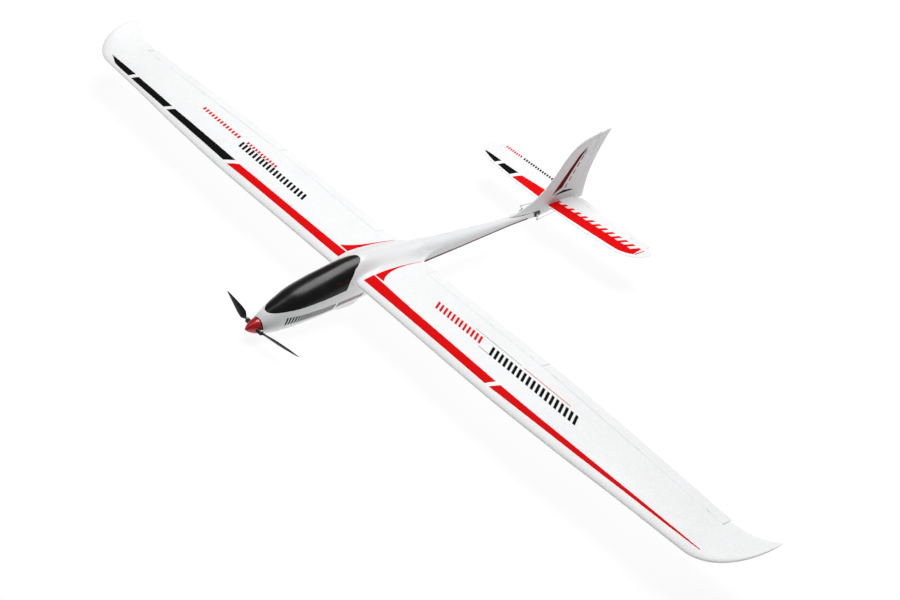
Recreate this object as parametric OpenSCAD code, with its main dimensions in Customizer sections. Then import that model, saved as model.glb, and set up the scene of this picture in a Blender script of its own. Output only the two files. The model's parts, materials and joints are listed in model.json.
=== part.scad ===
// Electric RC glider: 2.4 m wing, moulded pod-and-boom fuselage, folding propeller.
// X points to the port wing tip, the nose points along -Y, and Z is up.
// Z is zero under the belly skid. Stations ("s") are measured aft from the spinner tip.

/* [Overall] */
// Length from the spinner tip to the fin tip
length_total = 1235; // [1225:1:1245]
// Span from wing tip to wing tip
wing_span = 2400; // [2340:10:2440]
// Height of the wing chord plane above the belly skid
wing_height = 105; // [104:0.5:106]

/* [Wing] */
// Wing thickness as a percentage of the chord
wing_thickness = 9.5; // [9.2:0.1:10.5]
// Wing camber as a percentage of the chord
wing_camber = 2.8; // [2.4:0.1:3.2]
// Rise of the wing for each 100 mm of span
dihedral_rise = 0.94; // [0.5:0.01:1.2]
// How far the tips curve upwards
tip_rise = 37; // [25:1:45]
// Outer diameter of the carbon wing joiner
joiner_d = 10; // [8:1:10]
// Length of the carbon wing joiner
joiner_length = 700; // [600:10:760]

/* [Control linkages] */
// Length of the wing servo arms and horns, from pivot to hole
wing_arm = 18; // [17:0.5:19]
// Length of the tail servo arms and horns, from pivot to hole
tail_arm = 11; // [10:0.5:12]
// Diameter of the pushrods
rod_d = 1.6; // [1.4:0.1:1.8]

/* [Fuselage] */
// Wall thickness of the fuselage and canopy mouldings
wall = 1.6; // [1.4:0.1:2]
// Gap around the canopy
canopy_gap = 0.4; // [0.3:0.1:0.6]

/* [Propeller] */
// Diameter of the spinner
spinner_d = 40; // [38:1:40]
// Distance from each blade pin to its blade tip
blade_length = 114; // [105:1:118]
// Blade pin distance from the propeller axis
blade_pin_r = 27; // [26:0.5:28]
// Rest angle of the blades, swept back from the disc
blade_rest = 12.5; // [5:0.5:15]

/* [Tail] */
// Half span of the stabilizer
stab_half = 312; // [300:1:320]
// Height of the fin tip
fin_top = 312; // [305:1:315]

/* [Hidden] */

$fn = 32;
port = 1;
starboard = -1;
slip = 0.05;              // radial clearance of a running or sliding fit
length_scale = length_total / 1235;
half_span = wing_span / 2;
root_x = 50;              // spanwise place of the wing root face

// ---- Frame helpers ----
// Y coordinate of a station
function at(s) = s * length_scale - length_total / 2;
// Spanwise place of a wing station, stretched so that the tip lands on half_span
function wx(x) = root_x + (x - root_x) * (half_span - root_x) / (1200 - root_x);
function unit(v) = v / norm(v);
function reversed(list) = [for (i = [len(list) - 1:-1:0]) list[i]];

module sided(side) {
    if (side < 0) mirror([1, 0, 0]) children();
    else children();
}

// Places children in a hinge line's frame: X from p to q, Y aft, Z up
module on_line(p, q) {
    d = q - p;
    translate(p) rotate([0, -asin(d.z / norm(d)), atan2(d.y, d.x)]) children();
}

// A round bar between two points
module bar(a, b, r) {
    d = b - a;
    translate(a) rotate([0, acos(d.z / norm(d)), atan2(d.y, d.x)]) cylinder(h = norm(d), r = r);
}

// A cylinder along X that starts at x
module x_cylinder(x, h, r) {
    translate([x, 0, 0]) rotate([0, 90, 0]) cylinder(h = h, r = r);
}

// A cylinder along Y that starts at y
module y_cylinder(y, h, r) {
    translate([0, y, 0]) rotate([-90, 0, 0]) cylinder(h = h, r = r);
}

// An outline in Y and Z, extruded along X from x
module side_plate(x, h, outline) {
    translate([x, 0, 0]) rotate([90, 0, 90]) linear_extrude(h) polygon(outline);
}

// A closed solid through a list of rings that have the same number of points
module loft(rings) {
    n = len(rings[0]);
    last = (len(rings) - 1) * n;
    walls = [for (j = [0:len(rings) - 2]) for (i = [0:n - 1])
        let (a = j * n + i, b = j * n + (i + 1) % n)
        each [[a, b, a + n], [b, b + n, a + n]]];
    caps = [[for (i = [n - 1:-1:0]) i], [for (i = [0:n - 1]) last + i]];
    polyhedron(points = [for (r = rings) each r], faces = concat(caps, walls), convexity = 8);
}

// A round wire swept along its route
function wire_ring(p, t, r) =
    let (a = unit(cross([1, 0.02, 0.03], t)), b = cross(t, a))
    [for (k = [0:7]) p + r * (cos(45 * k) * a - sin(45 * k) * b)];
function tangent(path, i) =
    unit(path[min(i + 1, len(path) - 1)] - path[max(i - 1, 0)]);
module wire(path, r) {
    loft([for (i = [0:len(path) - 1]) wire_ring(path[i], tangent(path, i), r)]);
}

// ---- Aerofoils ----
// Half thickness of a four-digit section with a blunt foam trailing edge
function half_thick(x, t, edge) =
    5 * t * (0.2969 * sqrt(x) - 0.126 * x - 0.3516 * x * x
        + 0.2843 * pow(x, 3) - 0.1036 * pow(x, 4)) + edge * x;
function camber(x, m) =
    x < 0.4 ? m / 0.16 * (0.8 * x - x * x) : m / 0.36 * (0.2 + 0.8 * x - x * x);
// Chordwise places from the trailing edge round the nose and back
foil_steps = 11;
function foil_x(i) = (1 - cos(180 * i / foil_steps)) / 2;
function foil(t, m, edge) = concat(
    [for (i = [foil_steps:-1:0]) let (x = foil_x(i)) [x, camber(x, m) + half_thick(x, t, edge)]],
    [for (i = [1:foil_steps]) let (x = foil_x(i)) [x, camber(x, m) - half_thick(x, t, edge)]]);

// ---- Wing shape ----
wing_t = wing_thickness / 100;
wing_m = wing_camber / 100;
wing_edge = 0.0035;
tip_start = 1075;
tip_end = 487;            // station of the pointed tip
le_line = [[50, 289], [500, 283], [700, 289], [900, 301], [tip_start, 309]];
te_line = [[50, 516], [504, 512], [1079, 484], [1080, 475], [1140, 478], [1200, 488]];
function wing_le(x) = x <= tip_start ? lookup(x, le_line)
    : tip_end - (tip_end - 309) * sqrt(max(0, 1 - pow((x - tip_start) / (1200 - tip_start), 2)));
function wing_te(x) = lookup(x, te_line);
function wing_h(x) = wing_height + dihedral_rise / 100 * (x - root_x)
    + (x > 1050 ? tip_rise * pow((x - 1050) / 150, 2.6) : 0);
function wing_chord(x) = wing_te(x) - wing_le(x);
// Heights of the upper and lower skins at a span place and a station
function wing_skin(x, s, way) =
    let (f = (s - wing_le(x)) / wing_chord(x))
    wing_h(x) + wing_chord(x) * (camber(f, wing_m) + way * half_thick(f, wing_t, wing_edge));
function wing_ring(x) = [for (p = foil(wing_t, wing_m, wing_edge))
    [wx(x), at(wing_le(x) + p.x * wing_chord(x)), wing_h(x) + p.y * wing_chord(x)]];
wing_stations = [50, 98, 300, 504, 700, 900, 1040, 1079, 1080, 1105, 1130, 1150, 1168, 1182,
    1192, 1197, 1199.2, 1199.9];

module wing_solid() {
    loft([for (x = wing_stations) reversed(wing_ring(x))]);
}

// ---- Wing hinge lines ----
hinge_depth = 1.6;        // hinge axis below the upper skin
nose_r = 1.4;             // nose radius of the flaps and ailerons
nose_gap = 0.4;
flap_in = 98;
flap_out = 504;
aileron_out = 1079;
bay_end = 1080;
end_gap = 0.6;
function hinge_point(x, s) = [wx(x), at(s), wing_skin(x, s, 1) - hinge_depth];
flap_p = hinge_point(flap_in, 478);
flap_q = hinge_point(flap_out, 480);
aileron_q = hinge_point(aileron_out, 448);
function hinge_length(p, q) = norm(q - p);

pin_r = 0.5;
knuckle_w = 5;
notch_w = 6;
hinge_pin_length = 16;
tab_reach = 13;
tab_t = 1;

// One pinned hinge at a distance along its line: tab, knuckle and pin
module hinge_tab(x, reach = tab_reach) {
    translate([x - knuckle_w / 2, -reach, -tab_t / 2]) cube([knuckle_w, reach, tab_t]);
    x_cylinder(x - knuckle_w / 2, knuckle_w, 1.2);
    x_cylinder(x - hinge_pin_length / 2, hinge_pin_length, pin_r);
}

// The slot that a hinge tab is glued into
module tab_slot(x, reach = tab_reach) {
    translate([x - knuckle_w / 2 - slip, -reach - slip, -tab_t / 2 - slip])
        cube([knuckle_w + 2 * slip, reach, tab_t + 2 * slip]);
}

// What a hinge takes out of a moving surface: a notch and a pin bore
module hinge_room(x, r) {
    translate([x - notch_w / 2, -r - 1, -r - 1]) cube([notch_w, r + 2.6, 2 * r + 2]);
    x_cylinder(x - hinge_pin_length / 2 - 0.4, hinge_pin_length + 0.8, pin_r + slip);
}

function hinge_places(l) = [0.08 * l, 0.5 * l + 30, 0.92 * l];

// ---- Servos ----
servo_w = 12.2;           // width of a servo case
servo_l = 23;             // length of a servo case
servo_h = 22.5;           // height of a servo case
servo_front = 6;          // case length ahead of the output shaft
spline_r = 2.3;
flap_servo_x = 300;
aileron_servo_x = 790;
wing_servo_s = 392;
servo_lift = 8.4;         // output shaft above the lower skin
cover_t = 1.2;

// A servo with its output shaft on the X axis; its arm sits at x = 0 to 3.6
module servo() {
    color("dimgray") {
        difference() {
            union() {
                translate([-26.5, -servo_front, -servo_w / 2]) cube([servo_h, servo_l, servo_w]);
                translate([-10.5, -10.6, -servo_w / 2]) cube([2.2, 32.2, servo_w]);
            }
            for (y = [-8.4, 19.4]) translate([0, y, 0]) x_cylinder(-12, 5, 1);
        }
        x_cylinder(-4, 3.8, 5.8);
        x_cylinder(-0.3, 3.3, spline_r);
    }
}

// A servo arm that hangs down from its shaft by reach
module servo_arm(reach) {
    color("white") difference() {
        union() {
            x_cylinder(0, 3.6, 3.6);
            translate([1.6, -2, -reach]) cube([1.6, 4, reach]);
            translate([0, 0, -reach]) x_cylinder(1.6, 1.6, 2.6);
        }
        x_cylinder(-1, 4.2, spline_r + slip);
        translate([0, 0, -reach]) x_cylinder(1, 3, rod_d / 2 + slip);
    }
}

rod_pin = 3.8;            // reach of a pushrod's pin through its arm or horn

// A pushrod end: a pin across the arm or horn and a clevis block beside it
module rod_end(p, toward) {
    translate(p) {
        x_cylinder(-rod_pin, rod_pin + 0.4, rod_d / 2);
        translate([-1.1, -1.8, -1.6]) cube([2.2, 3.6, 3.2]);
    }
    bar(p, p + 10 * unit(toward - p), 1.1);
}

module pushrod(a, b) {
    color("silver") {
        rod_end(a, b);
        rod_end(b, a);
        bar(a, b, rod_d / 2);
    }
}

// A wing linkage's places in its hinge frame
function servo_axis(x, p, q) =
    let (along = wx(x) - p.x, t = along / (q.x - p.x), h = p.z + t * (q.z - p.z))
    [along, at(wing_servo_s) - (p.y + t * (q.y - p.y)),
        wing_skin(x, wing_servo_s, -1) + servo_lift - h];

module at_servo(x, p, q) {
    on_line(p, q) translate(servo_axis(x, p, q)) children();
}

module wing_rod(x, p, q) {
    a = servo_axis(x, p, q);
    on_line(p, q) pushrod(a + [4.4, 0, -wing_arm], [a.x + 4.4, 0, -wing_arm]);
}

// Where a wing horn's tab is glued into its surface: front, rear and top
horn_tab = [7, 16, -4.2];

// A control horn under a wing surface, in its hinge frame, with its hole under the axis
module wing_horn(x, p, q) {
    a = servo_axis(x, p, q);
    color("white") on_line(p, q) translate([a.x, 0, 0]) difference() {
        union() {
            side_plate(1.6, 1.6, [[horn_tab[0], horn_tab[2]], [horn_tab[1], horn_tab[2]],
                [horn_tab[1], -7.5], [2.4, -wing_arm - 1], [-2.4, -wing_arm - 1],
                [-2.4, -wing_arm + 2], [horn_tab[0], -7.5]]);
            translate([0, 0, -wing_arm]) x_cylinder(1.6, 1.6, 2.6);
        }
        translate([0, 0, -wing_arm]) x_cylinder(1, 3, rod_d / 2 + slip);
    }
}

// The room for a servo, its arm and its cover in the lower skin
module servo_pocket(x, p, q) {
    at_servo(x, p, q)
        translate([-27.5, -11.6, -30]) cube([33, 34.2, 30 + servo_w / 2 + 0.4]);
}

module servo_cover(x, p, q) {
    at_servo(x, p, q) difference() {
        translate([-27.3, -11.4, -servo_lift - 0.2]) cube([32.6, 33.8, cover_t]);
        translate([1, -13, -servo_lift - 2]) cube([3.2, 24, 4]);
    }
}

// ---- Wing panels ----
module bay_prism(front, inner, outer) {
    translate([0, 0, 60]) linear_extrude(130) polygon([
        [wx(inner), flap_p.y - front], [flap_q.x, flap_q.y - front],
        [wx(outer), aileron_q.y - front], [wx(outer), at(560)], [wx(inner), at(560)]]);
}

joiner_s = 355;
joiner_h = wing_height + 7.2;
wing_screw_s = 470;
wing_screw_h = wing_height + 4.5;
screw_seat_x = 31;        // where a wing screw's head bears on the fuselage

module wing_panel(side) {
    color("white") sided(side) difference() {
        wing_solid();
        bay_prism(nose_r + nose_gap, flap_in, bay_end);
        translate([0, at(joiner_s), joiner_h]) x_cylinder(0, joiner_length / 2 + 1, joiner_d / 2 + slip);
        translate([0, at(wing_screw_s), wing_screw_h]) x_cylinder(40, 16, 1.5 + slip);
        servo_pocket(flap_servo_x, flap_p, flap_q);
        servo_pocket(aileron_servo_x, flap_q, aileron_q);
        on_line(flap_p, flap_q)
            for (x = hinge_places(hinge_length(flap_p, flap_q))) tab_slot(x);
        on_line(flap_q, aileron_q)
            for (x = hinge_places(hinge_length(flap_q, aileron_q))) tab_slot(x);
    }
}

// A flap or aileron: the wing aft of its hinge line, with a round nose and a bevel below it
module wing_surface(p, q, servo_x) {
    l = hinge_length(p, q);
    difference() {
        union() {
            difference() {
                intersection() {
                    wing_solid();
                    translate([0, 0, 60]) linear_extrude(130) polygon([
                        [p.x + end_gap, p.y], [q.x - end_gap, q.y],
                        [q.x - end_gap, at(560)], [p.x + end_gap, at(560)]]);
                }
                on_line(p, q) side_plate(-5, l + 10, [[-1, -nose_r * sqrt(2) + 1], [-1, -20],
                    [20 - nose_r * sqrt(2), -20], [0, -nose_r * sqrt(2)]]);
            }
            on_line(p, q) x_cylinder(end_gap + 0.1, l - 2 * end_gap - 0.2, nose_r);
        }
        on_line(p, q) for (x = hinge_places(l)) hinge_room(x, nose_r);
        on_line(p, q) translate([servo_axis(servo_x, p, q).x + 1.6 - slip, horn_tab[0] - slip, -20])
            cube([1.6 + 2 * slip, horn_tab[1] - horn_tab[0] + 2 * slip, 20 + horn_tab[2] + slip]);
    }
}

module flap(side) {
    color("whitesmoke") sided(side) wing_surface(flap_p, flap_q, flap_servo_x);
}

module aileron(side) {
    color("whitesmoke") sided(side) wing_surface(flap_q, aileron_q, aileron_servo_x);
}

// ---- Fuselage ----
// Each row: station, centre height, half height, half width
pod = [
    [37, 35, 20.5, 20.5], [42, 36.5, 24, 23], [50, 39, 28.5, 25.5], [60, 41, 32.5, 28.5],
    [75, 44.5, 38, 32.5], [100, 50.5, 44, 37.5], [125, 56.5, 49.5, 42], [150, 61, 52.5, 45],
    [175, 64.5, 55, 46.5], [200, 68, 57, 48], [240, 73, 60, 48], [290, 79, 63, 47],
    [330, 82.75, 63.25, 46], [380, 85, 56, 44], [440, 86.5, 45.5, 40], [500, 90, 38, 36.5],
    [556, 94, 33, 32.5], [605, 91.5, 28.7, 28.7], [655, 91, 26, 26], [705, 90.5, 23, 23],
    [755, 89.5, 20, 20], [805, 89, 17.2, 17.2], [855, 89, 14.8, 14.8], [905, 89.5, 13, 13],
    [945, 90, 12, 13], [1000, 90, 12, 13], [1060, 91.5, 10.5, 10], [1110, 93.5, 8.5, 7],
    [1158, 96, 6.5, 4.5]];
pod_sides = 24;
function pod_ring(row, inset) = [for (i = [0:pod_sides - 1]) let (a = 360 * i / pod_sides)
    [-(row[3] - inset) * sin(a), at(row[0]), row[1] + (row[2] - inset) * cos(a)]];

// The pod and boom, with its skin drawn in by inset, between two rows of the table
module pod_solid(inset, first, last) {
    loft([for (i = [first:last]) pod_ring(pod[i], inset)]);
}

module pod_outside() {
    pod_solid(0, 0, len(pod) - 1);
}

// The inside of the pod and boom: the first row and the solid tail end have none
module pod_inside(inset) {
    pod_solid(inset, 1, len(pod) - 3);
}

// The moulded seats that the wing roots butt against
module wing_seat() {
    rows = [[20, 279, 562, 0.11], [34, 284, 540, 0.102], [44, 287, 524, 0.097],
        [root_x - 0.2, 289, 516, wing_t]];
    loft([for (r = rows) reversed([for (p = foil(r[3], wing_m, wing_edge))
        [r[0], at(r[1] + p.x * (r[2] - r[1])), wing_height + p.y * (r[2] - r[1])]])]);
}

// Side view of everything above the canopy's lower edge and ahead of its raked rear edge
canopy_front = [46, 69.6];
canopy_corner = [263, 94];
canopy_rake = [[276, 113], [298, 132.5], [331, 147.5]];
canopy_over = 165;
module canopy_region(gap) {
    side_plate(-70, 140, [[at(canopy_front.x - 30), canopy_front.y - 3.4 - gap],
        [at(canopy_corner.x) + gap, canopy_corner.y - gap],
        for (p = canopy_rake) [at(p.x) + gap, p.y - gap],
        [at(canopy_rake[2].x + 12), canopy_over], [at(canopy_front.x - 30), canopy_over]]);
}

// ---- Fin and rudder shape ----
// Each row: height, leading edge station, trailing edge station, thickness
fin_rows = [
    [94, 1080, 1202, 7], [98, 990, 1201, 9], [104, 888, 1200.5, 11], [110, 914, 1200, 11],
    [118, 942, 1199, 11], [128, 967, 1198, 11], [139, 988, 1197, 10.5], [150, 1003, 1196.5, 10],
    [165, 1018, 1196, 9.5], [182, 1030, 1196.5, 9], [205, 1046, 1200, 8.5], [244, 1068, 1210, 8],
    [277, 1096, 1221, 7], [296, 1130, 1229, 6.5], [304, 1162, 1233, 5.5], [309, 1194, 1235, 4.2],
    [fin_top, 1219, 1234, 3]];
function fin_ring(r) = let (c = r[2] - r[1])
    [for (p = foil(r[3] / c, 0, 0.6 / c)) [p.y * c, at(r[1] + p.x * c), r[0]]];

module fin_solid() {
    loft([for (r = fin_rows) fin_ring(r)]);
}

rudder_foot = [1162, 90];  // station and height of the hinge line's foot
rudder_head = [1187, 308];
rudder_slope = (rudder_head.x - rudder_foot.x) / (rudder_head.y - rudder_foot.y);
function rudder_s(h) = rudder_foot.x + (h - rudder_foot.y) * rudder_slope;
rudder_p = [0, at(rudder_foot.x), rudder_foot.y];
rudder_q = [0, at(rudder_head.x), rudder_head.y];
rudder_l = norm(rudder_q - rudder_p);
rudder_r = 2.2;
rudder_tilt = atan2(rudder_q.y - rudder_p.y, rudder_q.z - rudder_p.z);

// Rudder hinge frame: X up the hinge line, Y aft, Z to starboard
module on_rudder() {
    translate(rudder_p) rotate([-rudder_tilt, 0, 0]) rotate([0, -90, 0]) children();
}

// Everything aft of the rudder hinge line, moved forward by front
module rudder_side(front) {
    side_plate(-30, 60, [[at(rudder_s(80)) - front, 80],
        [at(rudder_s(320)) - front, 320], [at(1260), 320], [at(1260), 80]]);
}

rudder_hinges = [30, 100, 170];

// ---- Stabilizer shape ----
stab_root = 2;
stab_h = wing_height;
stab_tip_start = 225;
stab_hinge_s = 1153;
elevator_r = 1.7;
function stab_le(x) = x <= stab_tip_start ? lookup(x, [[8, 1038], [110, 1040], [225, 1051]])
    : 1141 - 90 * sqrt(max(0, 1 - pow((x - stab_tip_start) / (stab_half - stab_tip_start), 2)));
function stab_te(x) = lookup(x, [[8, 1175], [287, 1172], [289, 1161], [stab_half, 1146]]);
function stab_ring(x) = let (c = stab_te(x) - stab_le(x))
    [for (p = foil(0.06, 0, 0.5 / c)) [x, at(stab_le(x) + p.x * c), stab_h + p.y * c]];

module stab_solid() {
    loft([for (x = [stab_root, 110, 165, 225, 255, 275, 287, 289, 299, stab_half - 5,
        stab_half - 1, stab_half - 0.1])
        reversed(stab_ring(x))]);
}

elevator_p = [14, at(stab_hinge_s), stab_h];
elevator_q = [286, at(stab_hinge_s), stab_h];
elevator_hinges = [46, 216];

stab_joiner_s = 1085;
stab_joiner_r = 2;
elevator_wire_r = 1;

// Tail servo places: output shaft and hinge-side hole
elevator_shaft = [17.3, at(990), 93];
elevator_horn_x = 11.2;
rudder_servo_reach = 7;   // rudder servo shaft to starboard of the centre line
rudder_along = 21.5;      // rudder horn's distance up the hinge line

rudder_servo_pos = [-rudder_servo_reach, at(951), 108.6];

module at_rudder_servo() {
    translate(rudder_servo_pos) rotate([-rudder_tilt, 0, 0])
        rotate([0, -90, 0]) children();
}

module servo_room(extra) {
    translate([-26.5 - extra, -servo_front - extra, -servo_w / 2 - extra])
        cube([servo_h + 2 * extra, servo_l + 2 * extra, servo_w + 2 * extra]);
    translate([-10.5 - extra, -10.6 - extra, -servo_w / 2 - extra])
        cube([2.2 + 2 * extra, 32.2 + 2 * extra, servo_w + 2 * extra]);
    x_cylinder(-5, 5, 5.8 + extra);
}

module fuselage_outer() {
    pod_outside();
    for (side = [port, starboard]) sided(side) wing_seat();
    difference() {
        fin_solid();
        rudder_side(rudder_r + 0.5);
    }
}

module fuselage_shell() {
    color("gainsboro") difference() {
        fuselage_outer();
        pod_inside(wall);
        canopy_region(canopy_gap);
        translate([0, at(30), 35]) y_cylinder(0, 14, 18.9);
        translate([0, at(joiner_s), joiner_h])
            x_cylinder(-60, 120, joiner_d / 2 + slip);
        for (side = [port, starboard]) sided(side)
            translate([0, at(wing_screw_s), wing_screw_h]) {
                x_cylinder(25, 30, 1.5 + slip);
                x_cylinder(screw_seat_x - 11, 11, 3);
            }
        translate([0, at(stab_joiner_s), stab_h]) x_cylinder(-20, 40, stab_joiner_r + slip);
        translate([0, at(stab_hinge_s), stab_h]) x_cylinder(-20, 40, elevator_wire_r + slip);
        translate(elevator_shaft) servo_room(0.1);
        at_rudder_servo() servo_room(0.1);
        at_rudder_servo() translate([-0.2, -5, -4.5]) cube([5, 10, 26]);
        on_rudder() for (x = rudder_hinges) tab_slot(x, 9);
    }
}

// ---- Belly skid ----
skid_rows = [[246, 16, 11], [256, 8, 19], [272, 2, 25], [290, -3, 28], [315, -3, 28], [332, 2, 25],
    [346, 9, 19], [356, 17, 11]];
module belly_skid() {
    color("gainsboro") difference() {
        loft([for (r = skid_rows) [for (i = [0:15]) let (a = 360 * i / 16)
            [-r[2] * sin(a), at(r[0]), 36 + (36 - r[1]) * cos(a)]]]);
        translate([-60, at(200), -20]) cube([120, 200, 20]);
        pod_solid(-0.02, 8, 14);
        translate([-60, at(200), 45]) cube([120, 200, 60]);
    }
}

// ---- Canopy ----
module canopy() {
    color("#1c1c1e") intersection() {
        difference() {
            pod_outside();
            pod_inside(wall);
        }
        canopy_region(0);
    }
    color("#1c1c1e") canopy_bridge();
}

magnet_s = 262;
magnet_h = 102;
magnet_x = 30;

// The rib inside the canopy that carries its magnets
module canopy_bridge() {
    intersection() {
        pod_inside(wall - 0.2);
        translate([-60, at(magnet_s) - 3, magnet_h]) cube([120, 8, 3]);
        canopy_region(0);
    }
}

module magnet_pair(h) {
    color("silver") for (x = [-magnet_x, magnet_x])
        translate([x, at(magnet_s) + 0.5, h]) cylinder(h = 2, r = 2.8);
}

module canopy_magnets() {
    magnet_pair(magnet_h - 2.02);
}

// The shelf in the fuselage is part of the equipment tray's rear former
former_s = magnet_s;
former_top = magnet_h - 4.3;
module seat_magnets() {
    magnet_pair(former_top);
}

// ---- Equipment in the nose bay ----
tray_h = 38;
module equipment_tray() {
    color("tan") {
        intersection() {
            pod_inside(wall + 0.05);
            union() {
                translate([-60, at(94), tray_h]) cube([120, at(300) - at(94), 2]);
                difference() {
                    translate([-60, at(former_s) - 3, tray_h + 1]) cube([120, 6, former_top - tray_h - 1.05]);
                    translate([-26, at(former_s) - 5, tray_h + 2]) cube([52, 10, 80]);
                }
            }
        }
    }
}

module battery_pack() {
    color("royalblue") translate([-17, at(108), tray_h + 2.05]) cube([34, 105, 25]);
}

module speed_controller() {
    color("seagreen") translate([-13, at(102), tray_h - 12]) cube([26, 55, 11.9]);
}

module receiver() {
    color("#303030") translate([-12, at(225), tray_h + 2.05]) cube([24, 38, 13]);
}

// Routes of the wires: motor leads, battery leads and servo leads
motor_route = [[102, 30], [98, 30], [92, 26], [86, 20], [76, 15], [60, 14], [50, 14.4], [46, 15],
    [44, 17], [43, 20], [43, 22.3]];
battery_route = [[108, 60], [104, 60], [98, 58], [91, 52], [88.5, 44], [88.5, 37], [92, 31], [98, 30],
    [102, 30]];
servo_route = [[263.1, 46], [285, 46], [310, 44], [340, 48], [370, 56], [420, 66], [480, 76],
    [560, 84], [640, 88], [720, 89], [800, 89], [870, 90], [920, 90], [932, 90]];
function route(x, pts) = [for (p = pts) [x, at(p[0]), p[1]]];
module wiring() {
    color("crimson") {
        for (x = [-4, 0, 4]) wire(route(x, motor_route), 1.2);
        for (x = [7.5, 11.5]) wire(route(x, battery_route), 1.5);
        for (x = [-3, 3]) wire(route(x, servo_route), 1);
    }
}

// ---- Motor ----
axis_h = 35;
bolt_circle_r = 9.5;
module on_axis() {
    translate([0, at(0), axis_h]) children();
}

module motor_firewall() {
    color("silver") on_axis() difference() {
        y_cylinder(38.6, 2.4, 18.8);
        y_cylinder(30, 14, 5);
        for (a = [45:90:315]) rotate([0, a, 0]) translate([bolt_circle_r, 0, 0])
            y_cylinder(30, 14, 1.5 + slip);
    }
}

module motor_stator() {
    color("darkorange") on_axis() difference() {
        union() {
            y_cylinder(41, 3, 12.5);
            y_cylinder(43, 22, 5.5);
            for (a = [0:30:330]) rotate([0, a, 0]) translate([-1.4, 47, 5]) cube([2.8, 14, 6.5]);
            difference() {
                y_cylinder(48, 12, 13.8);
                y_cylinder(47, 14, 11.4);
                for (a = [15:30:345]) rotate([0, a, 0]) translate([-0.5, 46, 11]) cube([1, 16, 4]);
            }
        }
        y_cylinder(40, 26, 3.2);
        y_cylinder(40, 4.05, 4);
        y_cylinder(61.95, 4, 4);
        for (a = [45:90:315]) rotate([0, a, 0]) translate([bolt_circle_r, 0, 0])
            y_cylinder(40, 5, 1.5 + slip);
    }
}

module motor_bearings() {
    color("silver") on_axis() for (y = [41.05, 62]) difference() {
        y_cylinder(y, 2.95, 3.98);
        y_cylinder(y - 1, 5, 2 + 0.03);
    }
}

module motor_bell() {
    color("dimgray") on_axis() difference() {
        union() {
            difference() {
                y_cylinder(46, 24, 17);
                y_cylinder(45, 21, 14.3);
            }
            y_cylinder(66, 4, 17);
            y_cylinder(65.3, 5, 3.6);
        }
        y_cylinder(60, 12, 2 + 0.01);
        for (a = [0:60:300]) rotate([0, a, 0]) translate([10, 0, 0]) y_cylinder(60, 12, 3);
    }
}

module motor_shaft() {
    color("silver") on_axis() y_cylinder(15, 54, 2);
}

// Spinner: a cone with bulging sides, a rounded tip and a slot for each blade
spinner_end = 33;
module spinner_shape(inset) {
    r = spinner_d / 2 - inset;
    l = spinner_end - inset;
    steps = 14;
    translate([0, spinner_end, 0]) rotate([90, 0, 0]) rotate_extrude($fn = 64)
        polygon(concat([[0, 0]], [for (i = [0:steps]) let (t = sin(90 * i / steps))
            [r * pow(1 - t, 0.72) * (1 + 0.25 * t), l * t]]));
}

module spinner() {
    color("firebrick") on_axis() difference() {
        spinner_shape(0);
        difference() {
            translate([0, 0.02, 0]) spinner_shape(1.4);
            y_cylinder(0, 8, 20);
        }
        translate([-30, 19.5, -5.6]) cube([60, 20, 11.2]);
        y_cylinder(-1, 10, 1.6);
    }
}

fork_gap = 4.8;
yoke_h = 9;
yoke_y = [22.5, 31.5];
module propeller_hub() {
    color("#222222") on_axis() difference() {
        union() {
            y_cylinder(spinner_end + 0.05, 2.4, spinner_d / 2);
            y_cylinder(17, 17, 6);
            translate([-blade_pin_r, yoke_y[0], -yoke_h / 2])
                cube([2 * blade_pin_r, yoke_y[1] - yoke_y[0], yoke_h]);
            for (x = [-blade_pin_r, blade_pin_r]) translate([x, 27, -yoke_h / 2])
                cylinder(h = yoke_h, r = (yoke_y[1] - yoke_y[0]) / 2);
        }
        y_cylinder(14, 30, 2 + 0.01);
        for (side = [port, starboard]) sided(side)
            translate([blade_pin_r - 6.5, 20, -fork_gap / 2]) cube([20, 14, fork_gap]);
        for (x = [-blade_pin_r, blade_pin_r]) translate([x, 27, -8]) cylinder(h = 16, r = 1.5 + 0.02);
    }
}

module blade_pins() {
    color("silver") on_axis() for (x = [-blade_pin_r, blade_pin_r]) translate([x, 27, 0]) {
        translate([0, 0, -5.2]) cylinder(h = 10, r = 1.5);
        translate([0, 0, yoke_h / 2 + 0.02]) cylinder(h = 1.3, r = 2.8);
    }
}

// A blade along X from its pin; X out, Y aft and Z across the blade
blade_rows = [[3, 5.5, 4.2, 0], [8, 7, 4.4, 8], [14, 13, 4, 32], [24, 20, 3.2, 34], [40, 20, 2.6, 29],
    [60, 16.5, 2.2, 24], [78, 12.5, 1.8, 20], [94, 8.5, 1.4, 17], [106, 5, 1.1, 15], [114, 1.8, 0.8, 14]];
function blade_ring(r) = [for (i = [0:11]) let (a = 30 * i, u = r[1] / 2 * cos(a), v = r[2] / 2 * sin(a))
    [r[0] * blade_length / 114, v * cos(r[3]) - u * sin(r[3]), u * cos(r[3]) + v * sin(r[3])]];

module blade_shape() {
    difference() {
        union() {
            translate([0, 0, -2.3]) cylinder(h = 4.6, r = 4.2);
            intersection() {
                loft([for (r = blade_rows) blade_ring(r)]);
                union() {
                    translate([-20, -20, -2.3]) cube([27, 40, 4.6]);
                    translate([7, -30, -30]) cube([150, 60, 60]);
                }
            }
        }
        translate([0, 0, -5]) cylinder(h = 10, r = 1.5 + slip);
    }
}

module blade(side) {
    color("#151515") on_axis() rotate([0, side > 0 ? 0 : 180, 0])
        translate([blade_pin_r, 27, 0]) rotate([0, 0, blade_rest]) blade_shape();
}

// ---- Screws ----
module m3_screw(l) {
    y_cylinder(-3, 3, 2.7);
    y_cylinder(0, l, 1.5);
}

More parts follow.
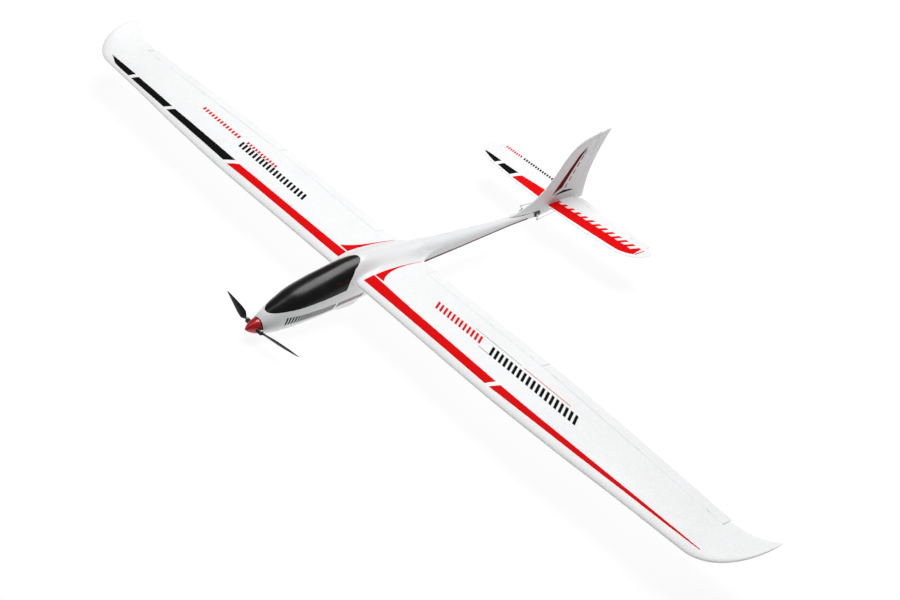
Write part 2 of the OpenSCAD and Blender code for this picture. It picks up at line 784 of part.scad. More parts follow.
module m3_screws() {
    color("silver") {
        on_axis() for (a = [45:90:315]) rotate([0, a, 0])
            translate([bolt_circle_r, 38.58, 0]) m3_screw(5);
        for (side = [port, starboard]) sided(side)
            translate([screw_seat_x, at(wing_screw_s), wing_screw_h]) rotate([0, 0, -90]) m3_screw(24);
    }
}

// ---- Wing joiner and covers ----
module wing_joiner() {
    color("#202020") translate([0, at(joiner_s), joiner_h]) difference() {
        x_cylinder(-joiner_length / 2, joiner_length, joiner_d / 2);
        x_cylinder(-joiner_length / 2 - 1, joiner_length + 2, joiner_d / 2 - 1);
    }
}

module servo_covers() {
    color("white") for (side = [port, starboard]) sided(side) {
        servo_cover(flap_servo_x, flap_p, flap_q);
        servo_cover(aileron_servo_x, flap_q, aileron_q);
    }
}

module surface_hinges() {
    color("ivory") {
        for (side = [port, starboard]) sided(side) {
            on_line(flap_p, flap_q)
                for (x = hinge_places(hinge_length(flap_p, flap_q))) hinge_tab(x);
            on_line(flap_q, aileron_q)
                for (x = hinge_places(hinge_length(flap_q, aileron_q))) hinge_tab(x);
            on_line(elevator_p, elevator_q) for (x = elevator_hinges) hinge_tab(x, 11);
        }
        on_rudder() for (x = rudder_hinges) hinge_tab(x, 9);
    }
}

// ---- Tail ----
module stabilizer(side) {
    color("white") sided(side) difference() {
        stab_solid();
        translate([0, 0, 60]) linear_extrude(100) polygon([
            [0, at(stab_hinge_s) - elevator_r - nose_gap],
            [287, at(stab_hinge_s) - elevator_r - nose_gap],
            [287, at(stab_hinge_s)], [278, at(1190)], [0, at(1190)]]);
        fin_room();
        if (side == port) translate([elevator_horn_x - 0.4, at(stab_hinge_s) - 3.4, stab_h - 6])
            cube([2.4, 6, 12]);
        translate([0, at(stab_joiner_s), stab_h]) x_cylinder(0, 91, stab_joiner_r + slip);
        on_line(elevator_p, elevator_q) for (x = elevator_hinges) tab_slot(x, 11);
    }
}

// The fin and boom, slightly swollen, so that the stabilizer roots fit against them
module fin_room() {
    pod_solid(-0.02, len(pod) - 4, len(pod) - 1);
    loft([for (r = [for (i = [0:6]) fin_rows[i]]) fin_ring([r[0], r[1] - 1, r[2] + 1, r[3] + 0.6])]);
}

module stabilizer_joiner() {
    color("#202020") translate([0, at(stab_joiner_s), stab_h]) x_cylinder(-90, 180, stab_joiner_r);
}

module elevator(side) {
    l = elevator_q.x - elevator_p.x;
    color("whitesmoke") sided(side) difference() {
        union() {
            intersection() {
                stab_solid();
                translate([0, 0, 60]) linear_extrude(100) polygon([
                    [elevator_p.x, elevator_p.y], [elevator_q.x, elevator_q.y],
                    [elevator_q.x - 9, at(1180)], [elevator_p.x + 12, at(1180)]]);
            }
            translate(elevator_p) x_cylinder(0.05, l - 0.1, elevator_r);
        }
        translate(elevator_p) for (x = elevator_hinges) hinge_room(x, elevator_r);
        translate(elevator_p) x_cylinder(-1, 27, elevator_wire_r + 0.01);
    }
}

module elevator_joiner() {
    color("silver") {
        translate([0, at(stab_hinge_s), stab_h]) {
            x_cylinder(-39, 78, elevator_wire_r);
            difference() {
                union() {
                    x_cylinder(elevator_horn_x, 1.6, 2.8);
                    translate([elevator_horn_x, -1.8, -tail_arm]) cube([1.6, 3.6, tail_arm]);
                    translate([0, 0, -tail_arm]) x_cylinder(elevator_horn_x, 1.6, 2.4);
                }
                translate([0, 0, -tail_arm]) x_cylinder(0, 20, rod_d / 2 + slip);
            }
        }
    }
}

module rudder() {
    color("whitesmoke") difference() {
        union() {
            intersection() {
                fin_solid();
                rudder_side(0);
            }
            on_rudder() x_cylinder(5, rudder_l - 14, rudder_r);
        }
        on_rudder() for (x = rudder_hinges) hinge_room(x, rudder_r);
        on_rudder() translate([rudder_along - 0.1, -4, -1]) cube([1.8, 16, 4]);
    }
}

// The rudder horn reaches to starboard from the hinge line
module rudder_horn() {
    color("white") on_rudder() difference() {
        union() {
            translate([rudder_along, 0, 0]) cube([1.6, 11, 3]);
            translate([rudder_along, 0, 0]) cube([1.6, rudder_r, tail_arm]);
            translate([rudder_along, -rudder_r, 4]) cube([1.6, 2 * rudder_r, tail_arm - 4]);
            translate([0, 0, tail_arm]) x_cylinder(rudder_along, 1.6, 2.4);
        }
        translate([0, 0, tail_arm]) x_cylinder(rudder_along - 1, 4, rod_d / 2 + slip);
        x_cylinder(rudder_along - 1, 4, rudder_r - 0.6);
    }
}

module at_elevator_servo() {
    translate(elevator_shaft) children();
}

module elevator_rod() {
    a = elevator_shaft + [4.8, 0, -tail_arm];
    b = [elevator_horn_x + 2.8, at(stab_hinge_s), stab_h - tail_arm];
    pushrod(a, b);
}

// The rudder's pushrod, in its servo's frame, parallel to the line between the two axes
module rudder_rod() {
    d = rudder_p - rudder_servo_pos;
    across = d.y * cos(rudder_tilt) - d.z * sin(rudder_tilt);
    up = d.y * sin(rudder_tilt) + d.z * cos(rudder_tilt);
    at_rudder_servo() pushrod([4.4, 0, tail_arm],
        [up + rudder_along + 3.6, across, tail_arm - rudder_servo_reach]);
}

module rudder_arm() {
    at_rudder_servo() rotate([180, 0, 0]) servo_arm(tail_arm);
}

// ---- Draw the chosen node ----
fuselage_shell();
belly_skid();
motor_firewall();
motor_stator();
motor_bearings();
m3_screws();
speed_controller();
battery_pack();
equipment_tray();
receiver();
wiring();
seat_magnets();
wing_joiner();
wing_panel(port);  // wing_left
wing_panel(starboard);  // wing_right
servo_covers();
at_servo(flap_servo_x, flap_p, flap_q) servo();  // flap_servo_left
sided(starboard) at_servo(flap_servo_x, flap_p, flap_q) servo();  // flap_servo_right
at_servo(aileron_servo_x, flap_q, aileron_q) servo();  // aileron_servo_left
sided(starboard) at_servo(aileron_servo_x, flap_q, aileron_q) servo();  // aileron_servo_right
at_elevator_servo() servo();  // elevator_servo
at_rudder_servo() servo();  // rudder_servo
surface_hinges();
stabilizer(port);  // stabilizer_left
stabilizer(starboard);  // stabilizer_right
stabilizer_joiner();
spinner();
propeller_hub();
motor_bell();
motor_shaft();
blade_pins();
blade(port);  // blade_left
blade(starboard);  // blade_right
canopy();
canopy_magnets();
flap(port);  // flap_left
flap(starboard);  // flap_right
aileron(port);  // aileron_left
aileron(starboard);  // aileron_right
wing_horn(flap_servo_x, flap_p, flap_q);  // flap_horn_left
sided(starboard) wing_horn(flap_servo_x, flap_p, flap_q);  // flap_horn_right
wing_horn(aileron_servo_x, flap_q, aileron_q);  // aileron_horn_left
sided(starboard) wing_horn(aileron_servo_x, flap_q, aileron_q);  // aileron_horn_right
elevator(port);  // elevator_left
elevator(starboard);  // elevator_right
elevator_joiner();
rudder();
rudder_horn();
at_servo(flap_servo_x, flap_p, flap_q) servo_arm(wing_arm);  // flap_arm_left
sided(starboard) at_servo(flap_servo_x, flap_p, flap_q) servo_arm(wing_arm);  // flap_arm_right
at_servo(aileron_servo_x, flap_q, aileron_q) servo_arm(wing_arm);  // aileron_arm_left
sided(starboard) at_servo(aileron_servo_x, flap_q, aileron_q) servo_arm(wing_arm);  // aileron_arm_right
at_elevator_servo() servo_arm(tail_arm);  // elevator_arm
rudder_arm();
wing_rod(flap_servo_x, flap_p, flap_q);  // flap_rod_left
sided(starboard) wing_rod(flap_servo_x, flap_p, flap_q);  // flap_rod_right
wing_rod(aileron_servo_x, flap_q, aileron_q);  // aileron_rod_left
sided(starboard) wing_rod(aileron_servo_x, flap_q, aileron_q);  // aileron_rod_right
elevator_rod();
rudder_rod();
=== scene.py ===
"""Looks of an electric RC glider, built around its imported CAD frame.

Shapes are worked out in millimetres and turned into metres when a mesh is made. The nose points
along -Y and the port wing along +X. Stations ("s") are measured aft from the spinner tip.
"""
import json
import math

import bmesh
import bpy
from mathutils import Matrix, Vector


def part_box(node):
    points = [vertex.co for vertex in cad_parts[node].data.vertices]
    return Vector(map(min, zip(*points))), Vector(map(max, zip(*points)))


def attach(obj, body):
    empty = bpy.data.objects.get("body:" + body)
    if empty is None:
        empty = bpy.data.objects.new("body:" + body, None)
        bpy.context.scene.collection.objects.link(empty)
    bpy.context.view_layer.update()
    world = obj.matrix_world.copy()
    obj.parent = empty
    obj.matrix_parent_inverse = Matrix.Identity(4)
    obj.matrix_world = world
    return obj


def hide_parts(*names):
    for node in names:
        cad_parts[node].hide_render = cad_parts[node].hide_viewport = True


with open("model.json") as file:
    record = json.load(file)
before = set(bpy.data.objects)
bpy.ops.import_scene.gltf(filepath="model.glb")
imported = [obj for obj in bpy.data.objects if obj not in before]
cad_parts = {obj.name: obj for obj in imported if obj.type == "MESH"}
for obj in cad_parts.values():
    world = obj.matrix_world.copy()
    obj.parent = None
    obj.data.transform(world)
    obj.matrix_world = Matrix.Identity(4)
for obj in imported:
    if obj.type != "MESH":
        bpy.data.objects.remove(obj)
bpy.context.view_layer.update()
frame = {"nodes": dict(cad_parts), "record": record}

MM = 0.001
LENGTH = 1235
PORT, STARBOARD = 1, -1
SIDES = ((PORT, "left"), (STARBOARD, "right"))
AIRFRAME = "airframe"


def at(s):
    """The Y coordinate of a station."""
    return s - LENGTH / 2


# ---- Camera ----
CAMERA_AZIMUTH = 36.503
CAMERA_ELEVATION = 34.773
CAMERA_ROLL = 16.586
CAMERA_DISTANCE = 3.42937
CAMERA_AIM = Vector((0.20368, -0.15540, 0.10775))
CAMERA_LENS = 56


def placed(name, data):
    """A new object in the scene."""
    made = bpy.data.objects.new(name, data)
    bpy.context.scene.collection.objects.link(made)
    return made


def make_camera():
    """A camera at the photograph's viewing angle, rolled to its horizon."""
    a, e, r = (math.radians(v) for v in (CAMERA_AZIMUTH, CAMERA_ELEVATION, CAMERA_ROLL))
    back = Vector((math.sin(a) * math.cos(e), -math.cos(a) * math.cos(e), math.sin(e)))
    level = Vector((math.cos(a), math.sin(a), 0))
    upright = back.cross(level)
    right = math.cos(r) * level + math.sin(r) * upright
    up = math.cos(r) * upright - math.sin(r) * level
    data = bpy.data.cameras.new("camera")
    data.lens = CAMERA_LENS
    data.sensor_width = 36
    data.clip_end = 50
    camera = placed("camera", data)
    turn = Matrix((right, up, back)).transposed().to_4x4()
    camera.matrix_world = Matrix.Translation(CAMERA_AIM + CAMERA_DISTANCE * back) @ turn
    bpy.context.scene.camera = camera


make_camera()


# ---- Materials ----
PATCH_SCALE = 14           # size of the patches that vary the roughness
PATTERNS = {"cells": ("ShaderNodeTexVoronoi", "Distance"), "weave": ("ShaderNodeTexChecker", "Fac"),
            "grain": ("ShaderNodeTexWave", "Fac"), "noise": ("ShaderNodeTexNoise", "Fac")}


def grey(v):
    return (v, v, v)


def pattern_node(nodes, links, coords, kind, scale, stretch=(1, 1, 1)):
    """A texture that varies from 0 to 1, in the piece's own coordinates."""
    mapping = nodes.new("ShaderNodeMapping")
    mapping.inputs["Scale"].default_value = stretch
    links.new(coords.outputs["Object"], mapping.inputs["Vector"])
    node_type, out = PATTERNS[kind]
    texture = nodes.new(node_type)
    if kind == "grain":
        texture.inputs["Distortion"].default_value = 6
        texture.inputs["Detail"].default_value = 3
    elif kind == "noise":
        texture.inputs["Detail"].default_value = 4
    texture.inputs["Scale"].default_value = scale
    links.new(mapping.outputs["Vector"], texture.inputs["Vector"])
    return texture.outputs[out]


def ramp(nodes, links, source, low, high):
    """A colour ramp driven by a texture."""
    node = nodes.new("ShaderNodeValToRGB")
    for stop, place, colour in zip(node.color_ramp.elements, (0.3, 0.7), (low, high)):
        stop.position = place
        stop.color = (*colour, 1)
    links.new(source, node.inputs["Fac"])
    return node.outputs["Color"]


def material(name, low, high, rough, scale, kind="noise", stretch=(1, 1, 1), bump=0.1,
             height=0.0001, metallic=0, coat=0, wear=0.08, subsurface=0, shine=0.5):
    """A procedural finish: pattern colour, uneven roughness, surface relief and a clear coat."""
    made = bpy.data.materials.new(name)
    made.use_nodes = True
    nodes, links = made.node_tree.nodes, made.node_tree.links
    shader = nodes["Principled BSDF"]
    coords = nodes.new("ShaderNodeTexCoord")
    pattern = pattern_node(nodes, links, coords, kind, scale, stretch)
    patches = pattern_node(nodes, links, coords, "noise", PATCH_SCALE)
    links.new(ramp(nodes, links, pattern, low, high), shader.inputs["Base Color"])
    rough_ramp = ramp(nodes, links, patches, grey(max(0.02, rough - wear)),
                      grey(min(1, rough + wear)))
    links.new(rough_ramp, shader.inputs["Roughness"])
    relief = nodes.new("ShaderNodeBump")
    relief.inputs["Strength"].default_value = bump
    relief.inputs["Distance"].default_value = height
    links.new(pattern, relief.inputs["Height"])
    links.new(relief.outputs["Normal"], shader.inputs["Normal"])
    for socket, value in (("Metallic", metallic), ("Specular IOR Level", shine),
                          ("Coat Weight", coat), ("Coat Roughness", 0.08),
                          ("Subsurface Weight", subsurface), ("Subsurface Scale", 0.002)):
        shader.inputs[socket].default_value = value
    return made


FOAM = material("moulded_foam", (0.80, 0.805, 0.815), (0.87, 0.872, 0.878), 0.5, 330, "cells",
                bump=0.35, height=0.0003, wear=0.1)
SHELL = material("fuselage_shell", (0.76, 0.765, 0.775), (0.81, 0.813, 0.82), 0.32, 900,
                 bump=0.12, coat=0.2, shine=0.3)
CANOPY = material("canopy_gloss", grey(0.004), grey(0.008), 0.26, 700, bump=0.05, wear=0.05,
                  shine=0.35)
RED = material("red_film", (0.66, 0.002, 0.003), (0.76, 0.004, 0.005), 0.6, 500, bump=0.06,
               shine=0.02)
BLACK = material("black_film", grey(0.003), grey(0.007), 0.6, 500, bump=0.06, shine=0.03)
MAROON = material("dark_red_film", (0.13, 0.002, 0.006), (0.19, 0.004, 0.01), 0.6, 500,
                  bump=0.06, shine=0.03)
WHITE_FILM = material("white_film", grey(0.8), grey(0.88), 0.35, 500, bump=0.05)
SPINNER_RED = material("spinner_red", (0.42, 0.006, 0.01), (0.56, 0.012, 0.016), 0.22, 160,
                       bump=0.05, metallic=0.25, coat=0.6)
BLADE = material("blade_nylon", grey(0.006), grey(0.012), 0.42, 420, stretch=(1, 6, 6), bump=0.15,
                 shine=0.2)
CARBON = material("carbon_weave", grey(0.012), grey(0.045), 0.3, 450, "weave", coat=0.5)
STEEL = material("steel", grey(0.5), grey(0.66), 0.28, 260, stretch=(1, 1, 12), bump=0.08,
                 metallic=1)
ALUMINIUM = material("motor_aluminium", grey(0.28), grey(0.42), 0.34, 240, stretch=(1, 14, 1),
                     metallic=1)
COPPER = material("copper_wire", (0.5, 0.2, 0.07), (0.75, 0.36, 0.16), 0.3, 900, "grain",
                  bump=0.4, height=0.0003, metallic=1)
SERVO = material("servo_case", grey(0.022), grey(0.04), 0.5, 900, bump=0.2)
NYLON = material("white_nylon", (0.72, 0.72, 0.70), (0.80, 0.80, 0.78), 0.45, 600, bump=0.12,
                 subsurface=0.05)
PLYWOOD = material("plywood", (0.42, 0.27, 0.14), (0.66, 0.47, 0.28), 0.62, 55, "grain",
                   (1, 0.15, 1), bump=0.3, height=0.0003)
BATTERY = material("battery_wrap", (0.012, 0.05, 0.26), (0.02, 0.09, 0.38), 0.3, 120, bump=0.3,
                   height=0.0006, coat=0.3)
CONTROLLER = material("controller_wrap", (0.01, 0.10, 0.05), (0.02, 0.17, 0.09), 0.35, 150,
                      bump=0.3, height=0.0006, coat=0.2)
RECEIVER = material("receiver_case", grey(0.02), grey(0.035), 0.48, 900, bump=0.2)
WIRE = material("wire_insulation", (0.45, 0.012, 0.012), (0.6, 0.02, 0.02), 0.4, 500)
STRAP = material("strap_weave", grey(0.012), grey(0.04), 0.7, 700, "weave", bump=0.5,
                 height=0.0004, shine=0.15)


# ---- Curves through design rows ----
class Curve:
    """A smooth curve through rows of (place, value, ...) that never overshoots them."""

    def __init__(self, rows):
        self.places = [row[0] for row in rows]
        self.columns = list(zip(*[row[1:] for row in rows]))
        self.slopes = [self.slope_list(column) for column in self.columns]

    def slope_list(self, column):
        steps = [b - a for a, b in zip(self.places, self.places[1:])]
        rises = [(b - a) / d for a, b, d in zip(column, column[1:], steps)]
        inner = [2 * a * b / (a + b) if a * b > 0 else 0 for a, b in zip(rises, rises[1:])]
        return [rises[0], *inner, rises[-1]]

    def __call__(self, x):
        x = min(max(x, self.places[0]), self.places[-1])
        i = max(k for k in range(len(self.places) - 1) if self.places[k] <= x)
        d = self.places[i + 1] - self.places[i]
        t = (x - self.places[i]) / d
        ends = (2 * t ** 3 - 3 * t ** 2 + 1, 3 * t ** 2 - 2 * t ** 3)
        leans = (t ** 3 - 2 * t ** 2 + t, t ** 3 - t ** 2)
        values = [ends[0] * v[i] + ends[1] * v[i + 1] + d * (leans[0] * m[i] + leans[1] * m[i + 1])
                  for v, m in zip(self.columns, self.slopes)]
        return values[0] if len(values) == 1 else values


def straight(x, rows):
    """The value at x on straight lines through rows of (place, value)."""
    for (a, u), (b, v) in zip(rows, rows[1:]):
        if x <= b:
            return u + (v - u) * (max(x, a) - a) / (b - a)
    return rows[-1][1]


def spread(a, b, n):
    """n + 1 places from a to b."""
    return [a + (b - a) * i / n for i in range(n + 1)]


def mix(a, b, t):
    return a + (b - a) * t


def arc(a, b, n):
    """n + 1 angles in radians between two in degrees."""
    return [math.radians(v) for v in spread(a, b, n)]


def circle(n):
    return arc(0, 360 - 360 / n, n - 1)


def ease(t):
    t = min(max(t, 0), 1)
    return t * t * (3 - 2 * t)


# ---- Meshes ----
SHARP_ANGLE = 38


class Solid:
    """Collects the faces of one closed piece, in millimetres."""

    def __init__(self):
        self.points = []
        self.faces = []

    def row(self, points):
        """Adds points and returns their numbers."""
        start = len(self.points)
        self.points.extend(Vector(p) for p in points)
        return list(range(start, start + len(points)))

    def strip(self, a, b, closed=False):
        """Joins two rows of points by four-sided faces."""
        n = len(a)
        for i in range(n if closed else n - 1):
            j = (i + 1) % n
            self.faces.append((a[i], a[j], b[j], b[i]))

    def band(self, rows, closed=False):
        """Joins each row of points to the next."""
        for a, b in zip(rows, rows[1:]):
            self.strip(a, b, closed)

    def fill(self, row):
        self.faces.append(tuple(row))

    def loft(self, rings):
        """A closed solid through rings of points."""
        rows = [self.row(ring) for ring in rings]
        self.band(rows, closed=True)
        self.fill(rows[0][::-1])
        self.fill(rows[-1])

    def slab(self, over, under):
        """A closed solid between two equal grids of points."""
        top = [self.row(line) for line in over]
        low = [self.row(line) for line in under]
        self.band(top)
        self.band(low)
        for end in (0, -1):
            self.strip(top[end], low[end])
            self.strip([r[end] for r in top], [r[end] for r in low])

    def block(self, low, high, matrix):
        """A plain box between two corners, in the frame of matrix."""
        corners = ((low[0], low[1]), (high[0], low[1]), (high[0], high[1]), (low[0], high[1]))
        self.loft([[matrix @ Vector((x, y, z)) for x, y in corners] for z in (low[2], high[2])])

    def lathe(self, profile, matrix, sides):
        """A closed solid turned about the Z axis of matrix, from rows of (z, radius)."""
        rows = [self.row([matrix @ Vector((r * math.cos(w), r * math.sin(w), z))
                          for w in circle(sides)]) for z, r in profile]
        self.band(rows + rows[:1], closed=True)

    def mesh(self, name):
        data = bpy.data.meshes.new(name)
        data.from_pydata([p * MM for p in self.points], [], self.faces)
        work = bmesh.new()
        work.from_mesh(data)
        bmesh.ops.remove_doubles(work, verts=work.verts, dist=2e-6)
        bmesh.ops.dissolve_degenerate(work, edges=work.edges, dist=1e-6)
        bmesh.ops.recalc_face_normals(work, faces=work.faces)
        work.to_mesh(data)
        work.free()
        return data


def applied(piece):
    """Bakes a piece's modifiers into its mesh."""
    bpy.context.view_layer.update()
    graph = bpy.context.evaluated_depsgraph_get()
    baked = bpy.data.meshes.new_from_object(piece.evaluated_get(graph))
    piece.modifiers.clear()
    piece.data = baked


def carve(piece, solid, operation="DIFFERENCE"):
    """Takes the shape of a Solid out of a piece, or adds it with the operation UNION."""
    tool = placed("cutter", solid.mesh("cutter"))
    cut = piece.modifiers.new("cut", "BOOLEAN")
    cut.operation = operation
    cut.solver = "EXACT"
    cut.object = tool
    applied(piece)
    bpy.data.objects.remove(tool)


def soften(piece, width, angle, segments=2):
    """Rounds a piece's sharp edges."""
    bevel = piece.modifiers.new("bevel", "BEVEL")
    bevel.width = width * MM
    bevel.segments = segments
    bevel.limit_method = "ANGLE"
    bevel.angle_limit = math.radians(angle)
    applied(piece)


def finish_piece(piece, finish, body, slot, nodes=()):
    """Gives a piece its material and smooth shading, attaches it to its body and hides the CAD
    nodes it stands for.
    """
    piece.data.materials.clear()
    piece.data.materials.append(finish)
    for face in piece.data.polygons:
        face.use_smooth = True
        face.material_index = 0
    piece.data.set_sharp_from_angle(angle=math.radians(SHARP_ANGLE))
    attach(piece, body)
    if nodes:
        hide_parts(*nodes)
    return piece


def make(name, solid):
    """A new object from a Solid."""
    return placed(name, solid.mesh(name))


# ---- Aerofoils and wing shape ----
WING_T, WING_M, WING_EDGE = 0.095, 0.028, 0.0035
WING_H, WING_SLOPE = 105, 0.0094
TIP_RISE, TIP_RISE_X = 37, 1050
ROOT_X, TIP_X = 50, 1200
TIP_START, TIP_S = 1075, 487
FLAP_IN, FLAP_OUT, AILERON_OUT, BAY_END = 98, 504, 1079, 1080
HINGE_DEPTH, NOSE_R, NOSE_GAP, END_GAP = 1.6, 1.4, 0.4, 0.6
CUT_AHEAD = NOSE_R + NOSE_GAP
HINGE_LINE = [(FLAP_IN, 478), (FLAP_OUT, 480), (AILERON_OUT, 448)]
LEADING = Curve([(50, 289), (500, 283), (700, 289), (900, 301), (TIP_START, 309)])
CHORD_END = Curve([(50, 516), (504, 512), (1079, 484), (1140, 480), (1200, 488)])
TIP_TRAILING = Curve([(BAY_END, 475), (1140, 478), (1200, 488)])


def half_thick(f, t, edge):
    """Half thickness of a four-digit section with a blunt foam trailing edge."""
    f = max(f, 0)
    return 5 * t * (0.2969 * math.sqrt(f) - 0.126 * f - 0.3516 * f * f
                    + 0.2843 * f ** 3 - 0.1036 * f ** 4) + edge * f


def camber(f, m):
    return m / 0.16 * (0.8 * f - f * f) if f < 0.4 else m / 0.36 * (0.2 + 0.8 * f - f * f)


def wing_le(x):
    if x <= TIP_START:
        return LEADING(x)
    across = min(1, (x - TIP_START) / (TIP_X - TIP_START))
    return TIP_S - (TIP_S - LEADING(TIP_START)) * math.sqrt(1 - across ** 2)


def wing_te(x):
    return CHORD_END(x) if x < BAY_END else TIP_TRAILING(x)


def wing_h(x):
    out = max(0, (x - TIP_RISE_X) / (TIP_X - TIP_RISE_X))
    return WING_H + WING_SLOPE * (x - ROOT_X) + TIP_RISE * out ** 2.6


def wing_skin(x, s, way):
    """Height of the upper (way 1) or lower (way -1) skin."""
    chord = CHORD_END(x) - wing_le(x)
    f = (s - wing_le(x)) / chord
    return wing_h(x) + chord * (camber(f, WING_M) + way * half_thick(f, WING_T, WING_EDGE))


def hinge_s(x):
    return straight(x, HINGE_LINE)


def cut_s(x):
    """Where the fixed wing ends ahead of the flap and aileron."""
    if x > BAY_END:
        share = (hinge_s(BAY_END) - CUT_AHEAD - wing_le(BAY_END)) / (
            wing_te(BAY_END) - wing_le(BAY_END))
        return mix(wing_le(x), wing_te(x), share)
    return hinge_s(x) - CUT_AHEAD


def line_matrix(p, q):
    """A hinge line's frame: X from p to q, Y aft, Z up."""
    d = (q - p).normalized()
    turn = Matrix.Rotation(math.atan2(d.y, d.x), 4, "Z") @ Matrix.Rotation(-math.asin(d.z), 4, "Y")
    return Matrix.Translation(p) @ turn


def hinge_end(x):
    s = hinge_s(x)
    return Vector((x, at(s), wing_skin(x, s, 1) - HINGE_DEPTH))


FLAP_P, FLAP_Q, AILERON_Q = hinge_end(FLAP_IN), hinge_end(FLAP_OUT), hinge_end(AILERON_OUT)
SURFACES = {"flap": (FLAP_P, FLAP_Q, 300), "aileron": (FLAP_Q, AILERON_Q, 790)}
SERVO_S, SERVO_LIFT = 392, 8.4
# A servo's pocket about its output shaft, and the notches round each hinge
POCKET_LOW, POCKET_HIGH = Vector((-27.5, -11.6, -30)), Vector((5.5, 22.6, 6.5))
NOTCH_HALF, NOTCH_AFT, NOTCH_OVER = 3, 1.6, 1


def servo_spot(p, q, x):
    """A wing servo's output shaft, in its hinge line's frame."""
    t = (x - p.x) / (q.x - p.x)
    return Vector((x - p.x, at(SERVO_S) - mix(p.y, q.y, t),
                   wing_skin(x, SERVO_S, -1) + SERVO_LIFT - mix(p.z, q.z, t)))


def hinge_places(length):
    return (0.08 * length, 0.5 * length + 30, 0.92 * length)


def mirrored(side, point):
    return Vector((side * point[0], point[1], point[2]))


def side_matrix(side):
    return Matrix.Diagonal((side, 1, 1, 1))


def skin_with_bay(solid, side, sections, steps, in_bay):
    """Joins sections, each an upper and a lower line from the trailing edge to a shared nose
    point. Between two sections in the bay, the first steps are left out and a wall closes the
    panel ahead of it. Returns the rows of point numbers."""
    tops, lows = [], []
    for over, under in sections:
        tops.append(solid.row([mirrored(side, v) for v in over]))
        lows.append(solid.row([mirrored(side, v) for v in under[:-1]]) + tops[-1][-1:])
    for i in range(len(tops) - 1):
        first = steps if in_bay(i) else 0
        solid.strip(tops[i][first:], tops[i + 1][first:])
        solid.strip(lows[i][first:], lows[i + 1][first:])
        solid.strip([tops[i][first], lows[i][first]], [tops[i + 1][first], lows[i + 1][first]])
    return tops, lows


# ---- Wing panels ----
AFT_STEPS, FRONT_STEPS = 5, 30
TIP_STEPS = 22


def wing_stations():
    inner = [ROOT_X, 60, 75, FLAP_IN]
    bay = spread(FLAP_IN, FLAP_OUT, 16)[1:] + spread(FLAP_OUT, BAY_END, 24)[1:]
    round_tip = [TIP_START + (TIP_X - TIP_START) * math.sin(a) for a in arc(2.6, 88.6, TIP_STEPS)]
    return inner + bay + [x for x in round_tip if x > BAY_END + 1]


def chord_places(x):
    """Stations from the trailing edge, by the hinge cut, to the nose."""
    cut = cut_s(x)
    aft = spread(wing_te(x), cut, AFT_STEPS)
    front = [mix(wing_le(x), cut, (1 - k / FRONT_STEPS) ** 2.2) for k in range(1, FRONT_STEPS + 1)]
    return aft + front


def wing_panel(side, label):
    """The fixed foam wing, with the bay for its flap and aileron open and its servo pockets."""
    solid = Solid()
    xs = wing_stations()
    sections = [[[(x, at(s), wing_skin(x, s, way)) for s in chord_places(x)] for way in (1, -1)]
                for x in xs]
    tops, lows = skin_with_bay(solid, side, sections, AFT_STEPS,
                               lambda i: xs[i] >= FLAP_IN and xs[i + 1] <= BAY_END)
    for x in (FLAP_IN, BAY_END):
        i = xs.index(x)
        solid.strip(tops[i][:AFT_STEPS + 1], lows[i][:AFT_STEPS + 1])
    for i in (0, -1):
        solid.strip(tops[i], lows[i])
    piece = make("wing_panel_" + label, solid)
    cutter = Solid()
    for p, q, servo_x in SURFACES.values():
        frame_at = side_matrix(side) @ line_matrix(p, q)
        spot = servo_spot(p, q, servo_x)
        cutter.block(spot + POCKET_LOW, spot + POCKET_HIGH, frame_at)
    carve(piece, cutter)
    finish_piece(piece, FOAM, AIRFRAME, "white_foam", ["wing_" + label])


def moving_ring(p, q, t):
    """Section of a flap or aileron at a share of its span, from its top front corner aft and
    back round its nose, as points in the row frame."""
    line = line_matrix(p, q)
    x = mix(p.x + END_GAP, q.x - END_GAP, t)
    share = (x - p.x) / (q.x - p.x)
    axis = p.lerp(q, share)
    s0 = axis.y + LENGTH / 2
    bevel_y = NOSE_R
    while wing_skin(x, s0 + bevel_y, -1) < axis.z - bevel_y - NOSE_R * math.sqrt(2):
        bevel_y += 0.05
    top = [(s, wing_skin(x, s, 1)) for s in spread(s0, wing_te(x), 8)]
    low = [(s, wing_skin(x, s, -1)) for s in spread(wing_te(x), s0 + bevel_y, 6)]
    nose = [(s0 - NOSE_R * math.sin(a), axis.z + NOSE_R * math.cos(a))
            for a in arc(135, 0, 9)]
    return [Vector((x, at(s), h)) for s, h in top + low + nose]


def moving_surface(kind, side, label):
    """A flap or aileron with a rounded nose, a bevel below it and notches for its hinges."""
    p, q, servo_x = SURFACES[kind]
    length = (q - p).length
    solid = Solid()
    count = round(length / 22)
    solid.loft([[mirrored(side, v) for v in moving_ring(p, q, t)] for t in spread(0, 1, count)])
    piece = make(kind + "_panel_" + label, solid)
    cutter = Solid()
    frame_at = side_matrix(side) @ line_matrix(p, q)
    for x in hinge_places(length):
        reach = NOSE_R + NOTCH_OVER
        cutter.block((x - NOTCH_HALF, -reach, -reach), (x + NOTCH_HALF, NOTCH_AFT, reach),
                     frame_at)
    carve(piece, cutter)
    finish_piece(piece, FOAM, kind + "_" + label, "white_foam", [kind + "_" + label])


for way, label in SIDES:
    wing_panel(way, label)
    for kind in SURFACES:
        moving_surface(kind, way, label)


# ---- Markings: thin films that follow a skin ----
FILM_UP, FILM_DOWN, FILM_STEP = 0.16, 0.12, 5
WHITE_LIFT = 0.16          # white films lie over red ones


